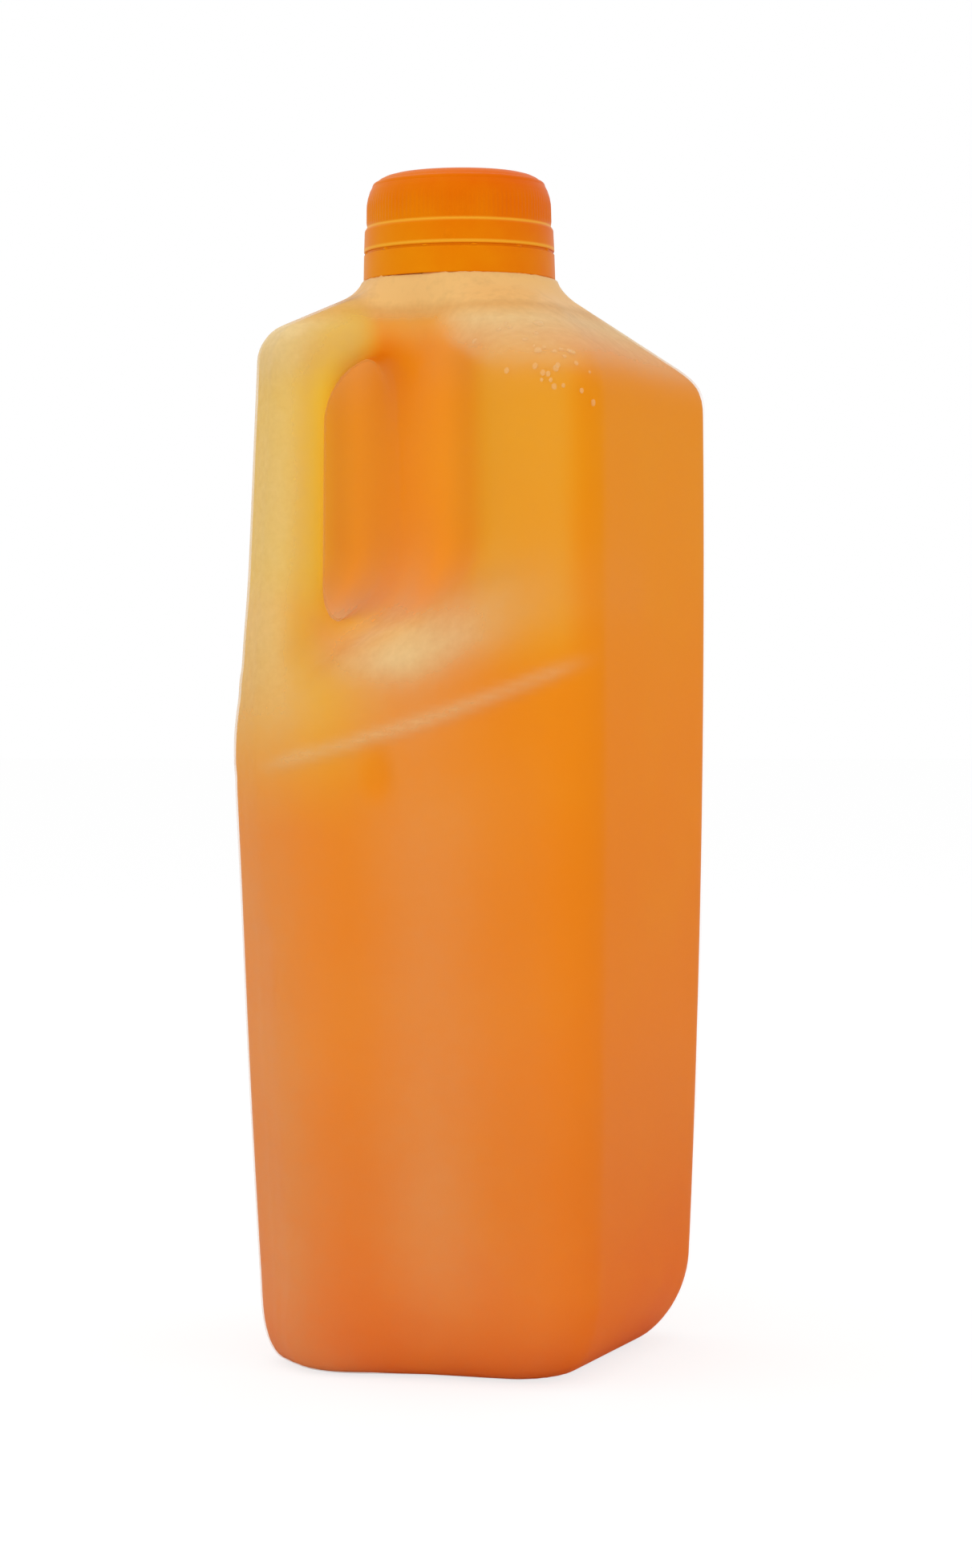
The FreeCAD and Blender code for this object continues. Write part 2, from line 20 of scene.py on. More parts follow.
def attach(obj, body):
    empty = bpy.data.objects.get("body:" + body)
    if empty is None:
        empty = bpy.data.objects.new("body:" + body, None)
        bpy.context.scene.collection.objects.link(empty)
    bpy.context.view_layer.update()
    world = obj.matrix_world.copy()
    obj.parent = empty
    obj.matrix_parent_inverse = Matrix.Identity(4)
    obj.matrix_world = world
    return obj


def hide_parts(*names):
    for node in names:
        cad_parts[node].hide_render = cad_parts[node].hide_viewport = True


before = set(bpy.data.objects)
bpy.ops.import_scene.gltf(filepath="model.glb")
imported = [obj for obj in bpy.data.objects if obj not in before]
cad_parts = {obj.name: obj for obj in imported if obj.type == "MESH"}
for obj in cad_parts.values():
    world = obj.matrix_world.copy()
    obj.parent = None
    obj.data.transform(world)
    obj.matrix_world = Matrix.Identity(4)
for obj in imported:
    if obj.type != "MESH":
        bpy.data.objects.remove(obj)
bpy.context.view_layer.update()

log = logging.getLogger("orangeade_jug")

MM = 0.001
BLACK = (0.0, 0.0, 0.0, 1.0)
WHITE = (1.0, 1.0, 1.0, 1.0)
ROOT_TWO = math.sqrt(2.0)
BODY = "root"

Array = np.ndarray
Piece = bpy.types.Object
Material = bpy.types.Material
Colour = tuple[float, float, float, float]
Span = tuple[float, float]
Triple = tuple[float, float, float]
Stretch = tuple[str, float, float]
Places = dict[str, Array]
Distance = Callable[[Array], Array]


# --- shared maths

def srgb(red: float, green: float, blue: float) -> Colour:
    """Turn a colour given in display values of 0 to 255 into the linear one that shaders take."""
    shares = (v / 255 for v in (red, green, blue))
    r, g, b = (v / 12.92 if v <= 0.0404 else ((v + 0.055) / 1.055) ** 2.4 for v in shares)
    return (r, g, b, 1.0)


def ease(value: Array, start: float, end: float) -> Array:
    """Rise from 0 at start to 1 at end along 3t^2 - 2t^3, level at both ends; an end below the start falls."""
    share = np.clip((value - start) / (end - start), 0.0, 1.0)
    return share * share * (3 - 2 * share)


def bell(value: Array, middle: float, width: float) -> Array:
    """A bell of height 1 about middle: e to the minus square of the distance over the width."""
    return np.exp(-(((value - middle) / width) ** 2))


def join(first: Array, second: Array, blend: float) -> Array:
    """The smaller of two distances, with the crease between them filled over a width of blend."""
    near = np.maximum(blend - np.abs(first - second), 0.0) / blend
    return np.minimum(first, second) - near * near * blend / 4


def trim(first: Array, second: Array, blend: float) -> Array:
    """The larger of two distances, with the edge between them eased off over a width of blend."""
    return -join(-first, -second, blend)


def round_trim(first: Array, second: Array, radius: float) -> Array:
    """The larger of two distances, with the edge between them rounded to a radius.

    Near the edge it is the distance from the line that lies one radius inside both surfaces.
    """
    corner = np.hypot(np.maximum(first + radius, 0.0), np.maximum(second + radius, 0.0))
    return np.minimum(np.maximum(first, second), -radius) + corner


def rounded_square(x: Array, y: Array, half: Array, radius: Array) -> Array:
    """Distance in plan from a square of half width `half` whose corners have a radius."""
    across = np.abs(x) - (half - radius)
    along = np.abs(y) - (half - radius)
    outer = np.hypot(np.maximum(across, 0.0), np.maximum(along, 0.0))
    return outer + np.minimum(np.maximum(across, along), 0.0) - radius


def slope_of(distance: Distance, points: Array, reach: float) -> Array:
    """Slope of a distance function at points, from its differences a reach either way along each axis."""
    gaps = [distance(points + step) - distance(points - step) for step in np.eye(3) * reach]
    return np.stack(gaps, axis=1) / (2 * reach)


def unit(rows: Array) -> Array:
    """Rows scaled to a length of 1."""
    return rows / np.linalg.norm(rows, axis=1)[:, None]


def sheet(rows: Array, columns: int, total: int) -> Array:
    """Quads between each row of a grid of points and the next; the columns close into a ring."""
    row, column = rows[:, None], np.arange(columns)[None, :]
    above, beside = (row + 1) % total, (column + 1) % columns
    ring = [(row, column), (row, beside), (above, beside), (above, column)]
    return np.stack([line * columns + step for line, step in ring], axis=-1).reshape(-1, 4)


# --- the jug's form

@dataclass(frozen=True)
class JugForm:
    """The jug as a distance function, in millimetres, with the handle between -X and -Y.

    A pair is the stretch over which something sets in.
    """

    base_half: float = 41.2
    mid_half: float = 44.9
    top_half: float = 45.5
    mid_height: float = 122.0
    shoulder_height: float = 214.6
    shoulder_slope: float = 39.0
    shoulder_blend: float = 5.0
    ridge_growth: float = 0.3
    corner: float = 13.0
    heel_inset: float = 11.0
    heel_height: float = 20.0
    heel_corner_share: float = 0.3
    heel_left: Span = (15.0, 45.0)
    heel_left_share: float = 0.5
    heel_right: Span = (15.0, 40.0)
    heel_right_share: float = 0.2
    chamfer: float = 19.5
    base_chamfer: float = 15.0
    chamfer_round: float = 5.0
    web: float = 15.0
    recess_round: float = 10.0
    recess_blend: float = 4.0
    lip_blend: float = 8.0
    lip_stretch: Span = (6.0, -1.0)
    crown_blend: float = 5.0
    crown_stretch: Span = (213.0, 224.0)
    shelf_reach: float = 50.0
    shelf_low: float = 146.0
    shelf_high: float = 168.0
    shelf_cosine: float = 0.84
    collar_radius: float = 20.6
    collar_height: float = 237.0
    collar_round: float = 0.3
    collar_band: float = 3.0
    throat_radius: float = 12.0
    throat_height: float = 30.0
    throat_blend: float = 5.5
    handle_half: float = 9.5
    handle_round: float = 6.0
    handle_blend: float = 6.0
    handle_root: float = 4.0
    handle_reach: float = 45.7
    handle_lean: float = 0.054
    handle_top: float = 224.0
    handle_top_round: float = 5.0
    handle_swell: float = 1.9
    swell_stretch: Span = (178.0, 120.0)
    handle_foot: float = 130.0
    handle_foot_reach: float = 51.9
    foot_slope: float = 0.16
    foot_cosine: float = 0.98
    foot_blend: float = 7.0
    foot_drop: float = 30.0
    bridge_slope: float = 0.42
    gap_reach: float = 33.4
    gap_lean: float = 0.02
    gap_top: float = 219.3
    gap_top_round: float = 15.0
    gap_foot_round: float = 12.0
    gap_blend: float = 2.0
    pushup_rise: float = 3.2
    pushup_radius: float = 24.0
    pushup_round: float = 2.0
    crease_middle: float = 137.2
    crease_slope: float = 0.283
    crease_bend: float = 0.0013
    crease_start: Span = (-32.0, -24.0)
    crease_end: Span = (46.0, 37.0)
    crease_face: Span = (34.0, 40.0)
    crest: Triple = (0.27, 0.7, 1.3)
    groove: Triple = (0.45, -1.7, 1.5)
    dimple_height: float = 129.3
    dimple_offset: float = -2.3
    dimple_depth: float = 0.8
    dimple_size: Span = (3.8, 6.2)
    dimple_edge: Span = (1.15, 0.35)
    dimple_face: Span = (36.0, 40.0)
    seam: float = 0.12
    seam_width: float = 1.1

    def wall_half(self, z: Array) -> Array:
        """Half width of the walls: the parabola through the half widths at base, middle and shoulder."""
        b, c = self.mid_height, self.shoulder_height
        low = self.base_half * (z - b) * (z - c) / (b * c)
        mid = self.mid_half * z * (z - c) / (b * (b - c))
        top = self.top_half * z * (z - b) / (c * (c - b))
        return low + mid + top

    def heel(self, z: Array) -> Array:
        """How far the heel turns in at a height: a quarter of an ellipse that stands on its side."""
        share = np.clip((self.heel_height - z) / self.heel_height, 0.0, 0.9999)
        return self.heel_inset * (1 - np.sqrt(1 - share * share))

    def shelf(self, distance: Array) -> Array:
        """Height of the hand recess's slanting shelf at a distance from the axis."""
        rise = (self.shelf_high - self.shelf_low) / (self.shelf_reach - self.web)
        return self.shelf_high + rise * (self.web - distance)

    def column(self, x: Array, y: Array, z: Array) -> Array:
        """The square column with its heel, sloping shoulder and cut corner, before the hand recess."""
        out = -(x + y) / ROOT_TWO
        left = self.heel_left_share * ease(out, *self.heel_left)
        right = self.heel_right_share * ease(x, *self.heel_right)
        half = self.wall_half(z) - self.heel(z) * (1 - left + right)
        corner = self.corner - self.heel_corner_share * self.heel(z)
        walls = rounded_square(x, y, half, corner)
        cut = self.base_chamfer + (self.chamfer - self.base_chamfer) * ease(z, 0.0, self.heel_height)
        walls = round_trim(walls, out - (2 * half - cut) / ROOT_TWO, self.chamfer_round)
        slope = math.radians(self.shoulder_slope)
        over = z - self.shoulder_height
        panel = self.top_half - over / math.tan(slope)
        ridge = np.clip(self.corner + self.ridge_growth * over, self.corner, np.maximum(panel - 1, 1.0))
        roof = rounded_square(x, y, np.maximum(panel, 1.0), ridge) * math.sin(slope)
        body = trim(walls, roof, self.shoulder_blend)
        return np.maximum(body, z - self.collar_height)

    def recess(self, x: Array, y: Array, z: Array) -> Array:
        """The hand recess: everything outside the web and above the shelf, its inner corner hollowed."""
        out = -(x + y) / ROOT_TWO
        return round_trim(self.web - out, (self.shelf(out) - z) * self.shelf_cosine, self.recess_round)

    def throat(self, x: Array, y: Array, z: Array) -> Array:
        """The cone that carries the collar, widening up to it."""
        foot = self.collar_height - self.throat_height
        growth = ease(z, foot, self.collar_height - self.collar_band)
        radius = self.throat_radius + (self.collar_radius - self.throat_radius) * growth
        cone = np.hypot(x, y) - radius
        return np.maximum(round_trim(cone, z - self.collar_height, self.collar_round), foot - z)

    def handle(self, x: Array, y: Array, z: Array) -> Array:
        """The handle: a bent bar, drawn as lines in the parting plane and rounded on its edges."""
        out = -(x + y) / ROOT_TWO
        across = np.abs(x - y) / ROOT_TWO
        line = self.handle_reach + self.handle_lean * (self.handle_top - z)
        line = line + self.handle_swell * ease(z, *self.swell_stretch)
        top = z - self.handle_top - self.bridge_slope * (self.handle_reach - out)
        outer = round_trim(out - line, top / math.hypot(1.0, self.bridge_slope), self.handle_top_round)
        under = (out - self.handle_foot_reach + (self.handle_foot - z) * self.foot_slope) * self.foot_cosine
        outer = trim(outer, under, self.foot_blend)
        side = out - self.gap_reach - self.gap_lean * (self.gap_top - z)
        inner = round_trim(side, z - self.gap_top, self.gap_top_round)
        inner = round_trim(inner, (self.shelf(out) - z) * self.shelf_cosine, self.gap_foot_round)
        plane = trim(outer, -inner, self.gap_blend)
        bar = round_trim(plane, across - self.handle_half, self.handle_round)
        below, within = self.handle_foot - self.foot_drop - z, self.web - self.handle_root - out
        return np.maximum(np.maximum(bar, below), within)

    def crease(self, along: Array) -> Array:
        """Height of a face's crease at a distance along it, rising ever steeper away from the handle."""
        return self.crease_middle + self.crease_slope * along + self.crease_bend * along * along

    def relief(self, x: Array, y: Array, z: Array) -> Array:
        """Height of the relief: on both faces a crest over a groove, a dimple in front, and the seam."""
        lift = np.zeros_like(x)
        for along, face in ((x, -y), (y, -x)):
            off = z - self.crease(along)
            ends = ease(along, *self.crease_start) * ease(along, *self.crease_end)
            wave = self.crest[0] * bell(off, *self.crest[1:]) - self.groove[0] * bell(off, *self.groove[1:])
            lift += wave * ends * ease(face, *self.crease_face)
        spot = self.dimple(x, z, self.dimple_size)
        lift -= self.dimple_depth * ease(spot, *self.dimple_edge) * ease(-y, *self.dimple_face)
        lift += self.seam * bell((x - y) / ROOT_TWO, 0.0, self.seam_width)
        return lift

    def dimple(self, x: Array, z: Array, size: Span) -> Array:
        """How far a point on the front lies from the dimple's middle, 1 on the ellipse of a size."""
        return np.hypot((x - self.dimple_offset) / size[0], (z - self.dimple_height) / size[1])

    def distance(self, points: Array) -> Array:
        """Distance of points from the outside: recess cut from the column, then throat and handle joined on.

        Args:
            points: N points in millimetres, one row each.

        Returns:
            N distances, negative inside.
        """
        x, y, z = points[:, 0], points[:, 1], points[:, 2]
        above = z - self.shelf(-(x + y) / ROOT_TWO)
        blend = self.recess_blend + self.lip_blend * ease(above, *self.lip_stretch)
        blend = blend + self.crown_blend * ease(z, *self.crown_stretch)
        body = trim(self.column(x, y, z), -self.recess(x, y, z), blend)
        body = join(body, self.throat(x, y, z), self.throat_blend)
        body = join(body, self.handle(x, y, z), self.handle_blend)
        hollow = self.pushup_rise * (1 - ease(np.hypot(x, y), 0.0, self.pushup_radius))
        body = round_trim(body, hollow - z, self.pushup_round)
        return np.maximum(body, z - self.collar_height) - self.relief(x, y, z)

    def gradient(self, points: Array) -> Array:
        """Slope of the distance at points."""
        return slope_of(self.distance, points, 0.05)


# --- what varies from place to place

def places(points: Array) -> Places:
    """Coordinates by name: `out` runs towards the handle, `across` away from the parting plane."""
    x, y, z = points.T
    return {"x": x, "z": z, "front": -y, "left": -x, "y": y,
            "out": -(x + y) / ROOT_TWO, "across": np.abs(x - y) / ROOT_TWO}


def both_faces(at: Places) -> list[Places]:
    """The coordinates for the front and the left face, with `along` a face and `depth` out of it."""
    return [{**at, "along": at["x"], "depth": at["front"]}, {**at, "along": at["y"], "depth": at["left"]}]


@dataclass(frozen=True)
class Patch:
    """An effect of a given strength that covers a part of the surface.

    Each ease names a coordinate, where on it the effect starts and where it is full; each bell names one, its
    middle and its width.
    """

    strength: float
    eases: tuple[Stretch, ...] = ()
    bells: tuple[Stretch, ...] = ()

    def over(self, at: Places) -> Array:
        """The effect at every place."""
        total = np.full_like(at["z"], self.strength)
        for shape, stretches in ((ease, self.eases), (bell, self.bells)):
            for name, first, second in stretches:
                total *= shape(at[name], first, second)
        return total


@dataclass(frozen=True)
class WallLook:
    """How milky the wall looks, with painted highlight and painted shade mixed in: each patch adds to the
    milkiness, all lengths are in millimetres.
    """

    form: JugForm
    everywhere: float = 0.025
    milk: Patch = Patch(0.03, (), (("z", 60.0, 35.0),))
    face: Patch = Patch(1.0, (("depth", 26.0, 38.0),))
    # band: painted reflection, a soft pale stripe of lamp light down each face.
    band: Patch = Patch(0.1, (("z", 150.0, 118.0), ("z", 0.0, 30.0)), (("along", 9.0, 13.0),))
    mist: Patch = Patch(0.035, (("z", 150.0, 118.0), ("along", 42.0, 30.0)))
    base: Patch = Patch(0.03, (("z", 60.0, 10.0),))
    strip: Patch = Patch(0.045, (("along", 18.0, 26.0), ("along", 43.0, 38.0), ("z", 150.0, 175.0)))
    under: Patch = Patch(0.15, (), (("over_lip", -12.0, 9.0), ("along", 0.0, 22.0)))
    # crease: painted highlight along the crest of the crease, where the little ledge faces up.
    crease: Patch = Patch(0.26, (("along", -34.0, -20.0), ("along", 46.0, 36.0)), (("over_crease", 0.9, 1.7),))
    lip: Patch = Patch(0.62, (("depth", -2.0, 20.0), ("out", 46.0, 36.0)))
    lip_level: float = 155.0
    lip_climb: float = 0.3
    lip_bend: float = 6.0
    lip_up_down: Span = (10.5, 6.5)
    lip_middle: float = 3.0
    lip_right_left: Span = (24.0, 18.0)
    dimple_size: Span = (4.5, 7.0)
    # dimple: takes milkiness away in the dimple, painted shade in its hollow.
    dimple: Patch = Patch(0.6, (("spot", 1.3, 0.3), ("front", 26.0, 38.0)))
    corner: Patch = Patch(0.36, (("z", 124.0, 162.0), ("out", 40.0, 50.0), ("z", 178.0, 168.0)))
    tongue_width: Span = (27.0, 14.0)
    tongue_narrows: Span = (205.0, 228.0)
    tongue: Patch = Patch(1.0, (("tongue", 1.0, 0.35), ("out", 3.0, 10.0), ("z", 232.0, 217.0)))
    web: Patch = Patch(0.13, (("z", 190.0, 164.0),))
    # roof: pale shoulders, partly the milky wall and partly painted highlight from the light above; the next
    # patch makes the painted highlight strongest where the surface faces up.
    roof: Patch = Patch(0.8, (("z", 206.0, 234.0),))
    upward_highlight: Patch = Patch(0.65, (("up", 0.1, 0.6),))
    roof_web_share: float = 0.95
    collar: Patch = Patch(0.97, (("z", 224.0, 231.4),))
    bar: Patch = Patch(1.0, (("out", 22.0, 30.0), ("z", 158.0, 178.0)))
    grip_everywhere: float = 0.06
    grip: Patch = Patch(0.42, (("out", 33.0, 49.0),))
    # The next patch is painted highlight on the handle's top where it faces up.
    grip_top_highlight: Patch = Patch(0.2, (("up", 0.2, 0.9), ("z", 212.0, 226.0)))
    grip_bridge: Patch = Patch(0.28, (("z", 209.0, 224.0),))

    def haze_and_painted_light(self, points: Array, normals: Array) -> Array:
        """Milkiness from 0 to 1: more where the wall is thick or has no drink close behind, plus painted
        highlight where it faces up, along the crease and in a band down each face, and painted shade in the
        dimple.

        Args:
            points: N points on the wall.
            normals: their unit normals.

        Returns:
            N shares.
        """
        at = places(points)
        at["up"] = np.clip(normals[:, 2], 0.0, 1.0)
        at["spot"] = self.form.dimple(at["x"], at["z"], self.dimple_size)
        wide, narrow = self.tongue_width
        at["tongue"] = at["across"] / (wide + (narrow - wide) * ease(at["z"], *self.tongue_narrows))
        total = self.everywhere + self.milk.over(at)
        for face in both_faces(at):
            total += self.face_haze(face)
        # Painted shade in the dimple, where it loses milkiness.
        total = total * (1 - self.dimple.over(at)) + self.corner.over(at)
        tongue = self.tongue.over(at)
        # Painted highlight on the shoulders, strongest where they face up.
        facing_up_highlight = 1 - self.upward_highlight.strength + self.upward_highlight.over(at)
        roof = self.roof.over(at) * facing_up_highlight * (1 - self.roof_web_share * tongue)
        total = np.maximum(total + roof, self.collar.over(at)) + self.web.over(at) * tongue
        # The handle's top gets painted highlight where it faces up.
        grip = self.grip_everywhere + self.grip.over(at) + self.grip_top_highlight.over(at) + self.grip_bridge.over(at)
        bar = self.bar.over(at)
        return np.clip(total * (1 - bar) + grip * bar, 0.0, self.collar.strength)

    def face_haze(self, face: Places) -> Array:
        """Milkiness of one face: a broad band of painted reflection, mist, the base, the strip beside the web,
        the lip and a painted highlight along the crease.

        The lip is palest along a line that is level by the handle and then climbs.
        """
        along, middle = face["along"], self.lip_middle
        level = self.lip_level + self.lip_climb * np.maximum(along - self.lip_bend, 0.0)
        face["over_lip"] = face["z"] - level
        face["over_crease"] = face["z"] - self.form.crease(along)
        # band is a painted reflection and crease a painted highlight.
        plain = (self.band, self.mist, self.base, self.strip, self.under, self.crease)
        height = np.where(face["over_lip"] > 0, *self.lip_up_down)
        width = np.where(along > middle, *self.lip_right_left)
        lip = self.lip.over(face) * bell(face["over_lip"], 0.0, height) * bell(along, middle, width)
        return sum(patch.over(face) for patch in plain) * self.face.over(face) + lip


@dataclass(frozen=True)
class DrinkLook:
    """How thin the drink looks and how much painted glow it gets where light would shine through: all lengths
    are in millimetres.
    """

    bar: Patch = Patch(1.0, (("out", 20.0, 29.0), ("z", 146.0, 176.0)))
    foot: Patch = Patch(0.7, (("out", 28.0, 44.0), ("z", 112.0, 156.0)))
    strip: Patch = Patch(0.24, (
        ("along", 14.0, 24.0), ("along", 44.0, 38.0), ("depth", 30.0, 40.0), ("z", 145.0, 165.0),
    ))
    top: Patch = Patch(0.5, (("z", 219.0, 234.0),))
    # The lit patches paint glow: emission that stands in for light shining through the thin plastic and lifts
    # the shade inside the handle, on the web and at the foot.
    lit_bar: Patch = Patch(1.0, (("out", 22.0, 29.0), ("z", 150.0, 172.0)))
    lit_everywhere: float = 0.15
    lit_inner: Patch = Patch(0.85, (("out", 41.0, 33.0),))
    lit_bridge: Patch = Patch(0.9, (("z", 205.0, 219.0),))
    lit_web: Patch = Patch(0.46, (("out", 4.0, 12.0), ("across", 38.0, 22.0), ("z", 150.0, 175.0)))
    lit_base: Patch = Patch(0.25, (("z", 45.0, 0.0),))

    def thin(self, points: Array) -> Array:
        """How thin the drink is, 0 to 1: all through the handle and fading out below its foot."""
        at = places(points)
        strip = sum(self.strip.over(face) for face in both_faces(at))
        parts = [self.bar.over(at), self.foot.over(at), strip, self.top.over(at)]
        return np.clip(np.max(parts, axis=0), 0.0, 1.0)

    def glow(self, points: Array) -> Array:
        """How much painted glow, 0 to 1: emission that lifts the shade, most at the handle's inner side, some
        on the web and at the foot.
        """
        at = places(points)
        bar = self.lit_bar.over(at)
        grip = (self.lit_everywhere + self.lit_inner.over(at)) * (1 - self.lit_bridge.over(at))
        return np.clip(bar * grip + self.lit_web.over(at) * (1 - bar) + self.lit_base.over(at), 0.0, 1.0)


class Offset(Enum):
    """Where a surface lies within the jug's wall, as a distance inwards from the outside in millimetres."""

    OUTSIDE = 0.0
    DRINK = 0.45


# --- meshes

def place_object(name: str, data: bpy.types.ID) -> Piece:
    """Put an object that shows the data into the scene, at the origin."""
    thing = bpy.data.objects.new(name, data)
    bpy.context.scene.collection.objects.link(thing)
    return thing


def make_piece(name: str, points: Array, faces: Array) -> Piece:
    """Put a mesh of points in millimetres and of equal-sided faces into the scene, smoothly shaded.

    Args:
        name: the piece's name.
        points: one row per vertex.
        faces: one row of vertex numbers per face, in order round it seen from outside.

    Returns:
        The new object, at the origin, unturned and unscaled.
    """
    mesh = bpy.data.meshes.new(name)
    sides = faces.shape[1]
    mesh.vertices.add(len(points))
    mesh.vertices.foreach_set("co", (points * MM).astype(np.float32).ravel())
    mesh.loops.add(faces.size)
    mesh.loops.foreach_set("vertex_index", faces.astype(np.int32).ravel())
    mesh.polygons.add(len(faces))
    mesh.polygons.foreach_set("loop_start", np.arange(0, faces.size, sides, dtype=np.int32))
    mesh.polygons.foreach_set("use_smooth", np.ones(len(faces), dtype=bool))
    mesh.update(calc_edges=True)
    mesh.validate()
    return place_object(name, mesh)


def add_field(piece: Piece, name: str, values: Array) -> None:
    """Store one number per vertex on a piece, for its material to read."""
    attribute = piece.data.attributes.new(name, "FLOAT", "POINT")
    attribute.data.foreach_set("value", values.astype(np.float32))


@dataclass(frozen=True)
class SurfaceNet:
    """Finds the surface where a distance function is zero, on a grid of cells."""

    step: float
    low: Triple
    high: Triple

    def build(self, distance: Distance) -> tuple[Array, Array]:
        """One vertex in every cell that the surface passes, joined to its neighbours by quads.

        A vertex is the mean of the points where the cell's edges cross the surface, and is then moved along the
        slope of the distance until it lies on the surface.

        Args:
            distance: gives the distances of N points.

        Returns:
            The vertices in millimetres and the quads, facing outwards.
        """
        axes = [np.arange(lo, hi + self.step, self.step) for lo, hi in zip(self.low, self.high)]
        grid = np.stack(np.meshgrid(*axes, indexing="ij"), axis=-1)
        values = distance(grid.reshape(-1, 3)).reshape(grid.shape[:3])
        inside = values < 0
        count = sum(self.corner(inside.astype(np.int8), c) for c in np.ndindex(2, 2, 2))
        mixed = (count > 0) & (count < 8)
        cells = np.argwhere(mixed)
        number = np.full(mixed.shape, -1, dtype=np.int64)
        number[mixed] = np.arange(len(cells))
        points = self.crossings(values, cells) * self.step + np.array(self.low)
        faces = [self.quads(inside, number, axis) for axis in range(3)]
        return self.settle(points, distance), np.concatenate(faces)

    @staticmethod
    def corner(values: Array, which: Sequence[int]) -> Array:
        """The values at one of the eight corners of every cell."""
        i, j, k = which
        n = values.shape
        return values[i : n[0] - 1 + i, j : n[1] - 1 + j, k : n[2] - 1 + k]

    @staticmethod
    def crossings(values: Array, cells: Array) -> Array:
        """Mean place, in cells, of the points where each cell's twelve edges cross the surface."""
        total = np.zeros((len(cells), 3))
        found = np.zeros(len(cells))
        for axis in range(3):
            for a, b in np.ndindex(2, 2):
                start = np.insert(np.array([a, b]), axis, 0)
                end = start + np.eye(3, dtype=int)[axis]
                first = values[tuple((cells + start).T)]
                second = values[tuple((cells + end).T)]
                crosses = (first < 0) != (second < 0)
                share = np.where(crosses, first / np.where(crosses, first - second, 1.0), 0.0)
                place = cells + start + share[:, None] * np.eye(3)[axis]
                total += place * crosses[:, None]
                found += crosses
        return total / found[:, None]

    @staticmethod
    def quads(inside: Array, number: Array, axis: int) -> Array:
        """The quads across grid edges of one direction where the surface passes, turned to face outwards."""
        order = np.roll(np.arange(3), -axis)
        field_in = inside.transpose(order)
        cell_no = number.transpose(order)
        start, end = field_in[:-1, 1:-1, 1:-1], field_in[1:, 1:-1, 1:-1]
        i, j, k = np.nonzero(start != end)
        ring = [cell_no[i, j, k], cell_no[i, j + 1, k], cell_no[i, j + 1, k + 1], cell_no[i, j, k + 1]]
        quads = np.stack(ring, axis=1)
        return np.where(start[i, j, k][:, None], quads, quads[:, ::-1])

    def settle(self, points: Array, distance: Distance) -> Array:
        """Move points along the slope of the distance onto the surface, by at most a third of a cell a time."""
        for _turn in range(5):
            value = distance(points)
            slope = slope_of(distance, points, 0.04)
            size = np.maximum((slope**2).sum(1), 0.05)
            move = slope * (value / size)[:, None]
            length = np.maximum(np.linalg.norm(move, axis=1), 1e-9)
            points = points - move * np.minimum(1.0, self.step / 3 / length)[:, None]
        return points


@dataclass(frozen=True)
class Outline:
    """A closed or open line of points in the plane of radius and height, with a rounding at every point."""

    corners: tuple[Triple, ...]
    most: float = 0.58
    cut: float = 0.04

    def sample(self, spacing: float) -> Array:
        """Points along the line no further apart than spacing, with each corner replaced by an arc.

        Each arc is a quadratic curve between the two points one tangent length from the corner, but no further
        off than a share `most` of the shorter side.
        """
        path = np.array([c[:2] for c in self.corners])
        pieces = [path[:1]]
        for before, (r, z, radius), after in zip(self.corners, self.corners[1:], self.corners[2:]):
            here = np.array([r, z])
            back, ahead = np.array(before[:2]) - here, np.array(after[:2]) - here
            lengths = np.linalg.norm(back), np.linalg.norm(ahead)
            back, ahead = back / lengths[0], ahead / lengths[1]
            angle = math.acos(float(np.clip(back @ ahead, -1, 1)))
            reach = min(radius / math.tan(angle / 2), self.most * min(lengths)) if radius else 0.0
            t = np.linspace(0, 1, 9 if radius else 1)[:, None]
            start, end = here + back * reach, here + ahead * reach
            pull = here + (start + end - 2 * here) * self.cut
            arc = (1 - t) ** 2 * start + 2 * t * (1 - t) * pull + t**2 * end
            pieces.append(arc if radius else here[None, :])
        pieces.append(path[-1:])
        line = np.concatenate(pieces)
        gaps = np.linalg.norm(np.diff(line, axis=0), axis=1)
        parts = np.maximum(np.ceil(gaps / spacing).astype(int), 1)
        runs = [
            line[n] + (line[n + 1] - line[n]) * np.linspace(0, 1, count, endpoint=False)[:, None]
            for n, count in enumerate(parts)
            if gaps[n] > 1e-6
        ]
        return np.concatenate(runs + [line[-1:]])


def spin(profile: Array, turns: int, shift: Callable[[Array, Array, Array], Array]) -> tuple[Array, Array]:
    """Carry a closed profile round the axis: x = r cos u, y = r sin u, with r moved by shift(r, z, u).

    Args:
        profile: rows of radius and height, of which the last joins the first; a radius of 0 makes a pole.
        turns: how many steps make a full turn.
        shift: gives the change of radius for arrays of radius, height and angle.

    Returns:
        Vertices in millimetres and quads, which face outwards for a profile that runs upwards outside.
    """
    angle = np.linspace(0, 2 * math.pi, turns, endpoint=False)[None, :]
    radius, height = profile[:, :1], profile[:, 1:]
    moved = radius + shift(radius, height, angle) * (radius > 0.01)
    points = np.stack([moved * np.cos(angle), moved * np.sin(angle), height + 0 * angle], axis=-1)
    return points.reshape(-1, 3), sheet(np.arange(len(profile)), turns, len(profile))


def merge_poles(piece: Piece) -> None:
    """Join the vertices that lie on one another at the poles of a spun piece."""
    mesh = bmesh.new()
    mesh.from_mesh(piece.data)
    bmesh.ops.remove_doubles(mesh, verts=mesh.verts, dist=1e-6)
    mesh.to_mesh(piece.data)
    mesh.free()


# --- shader maths

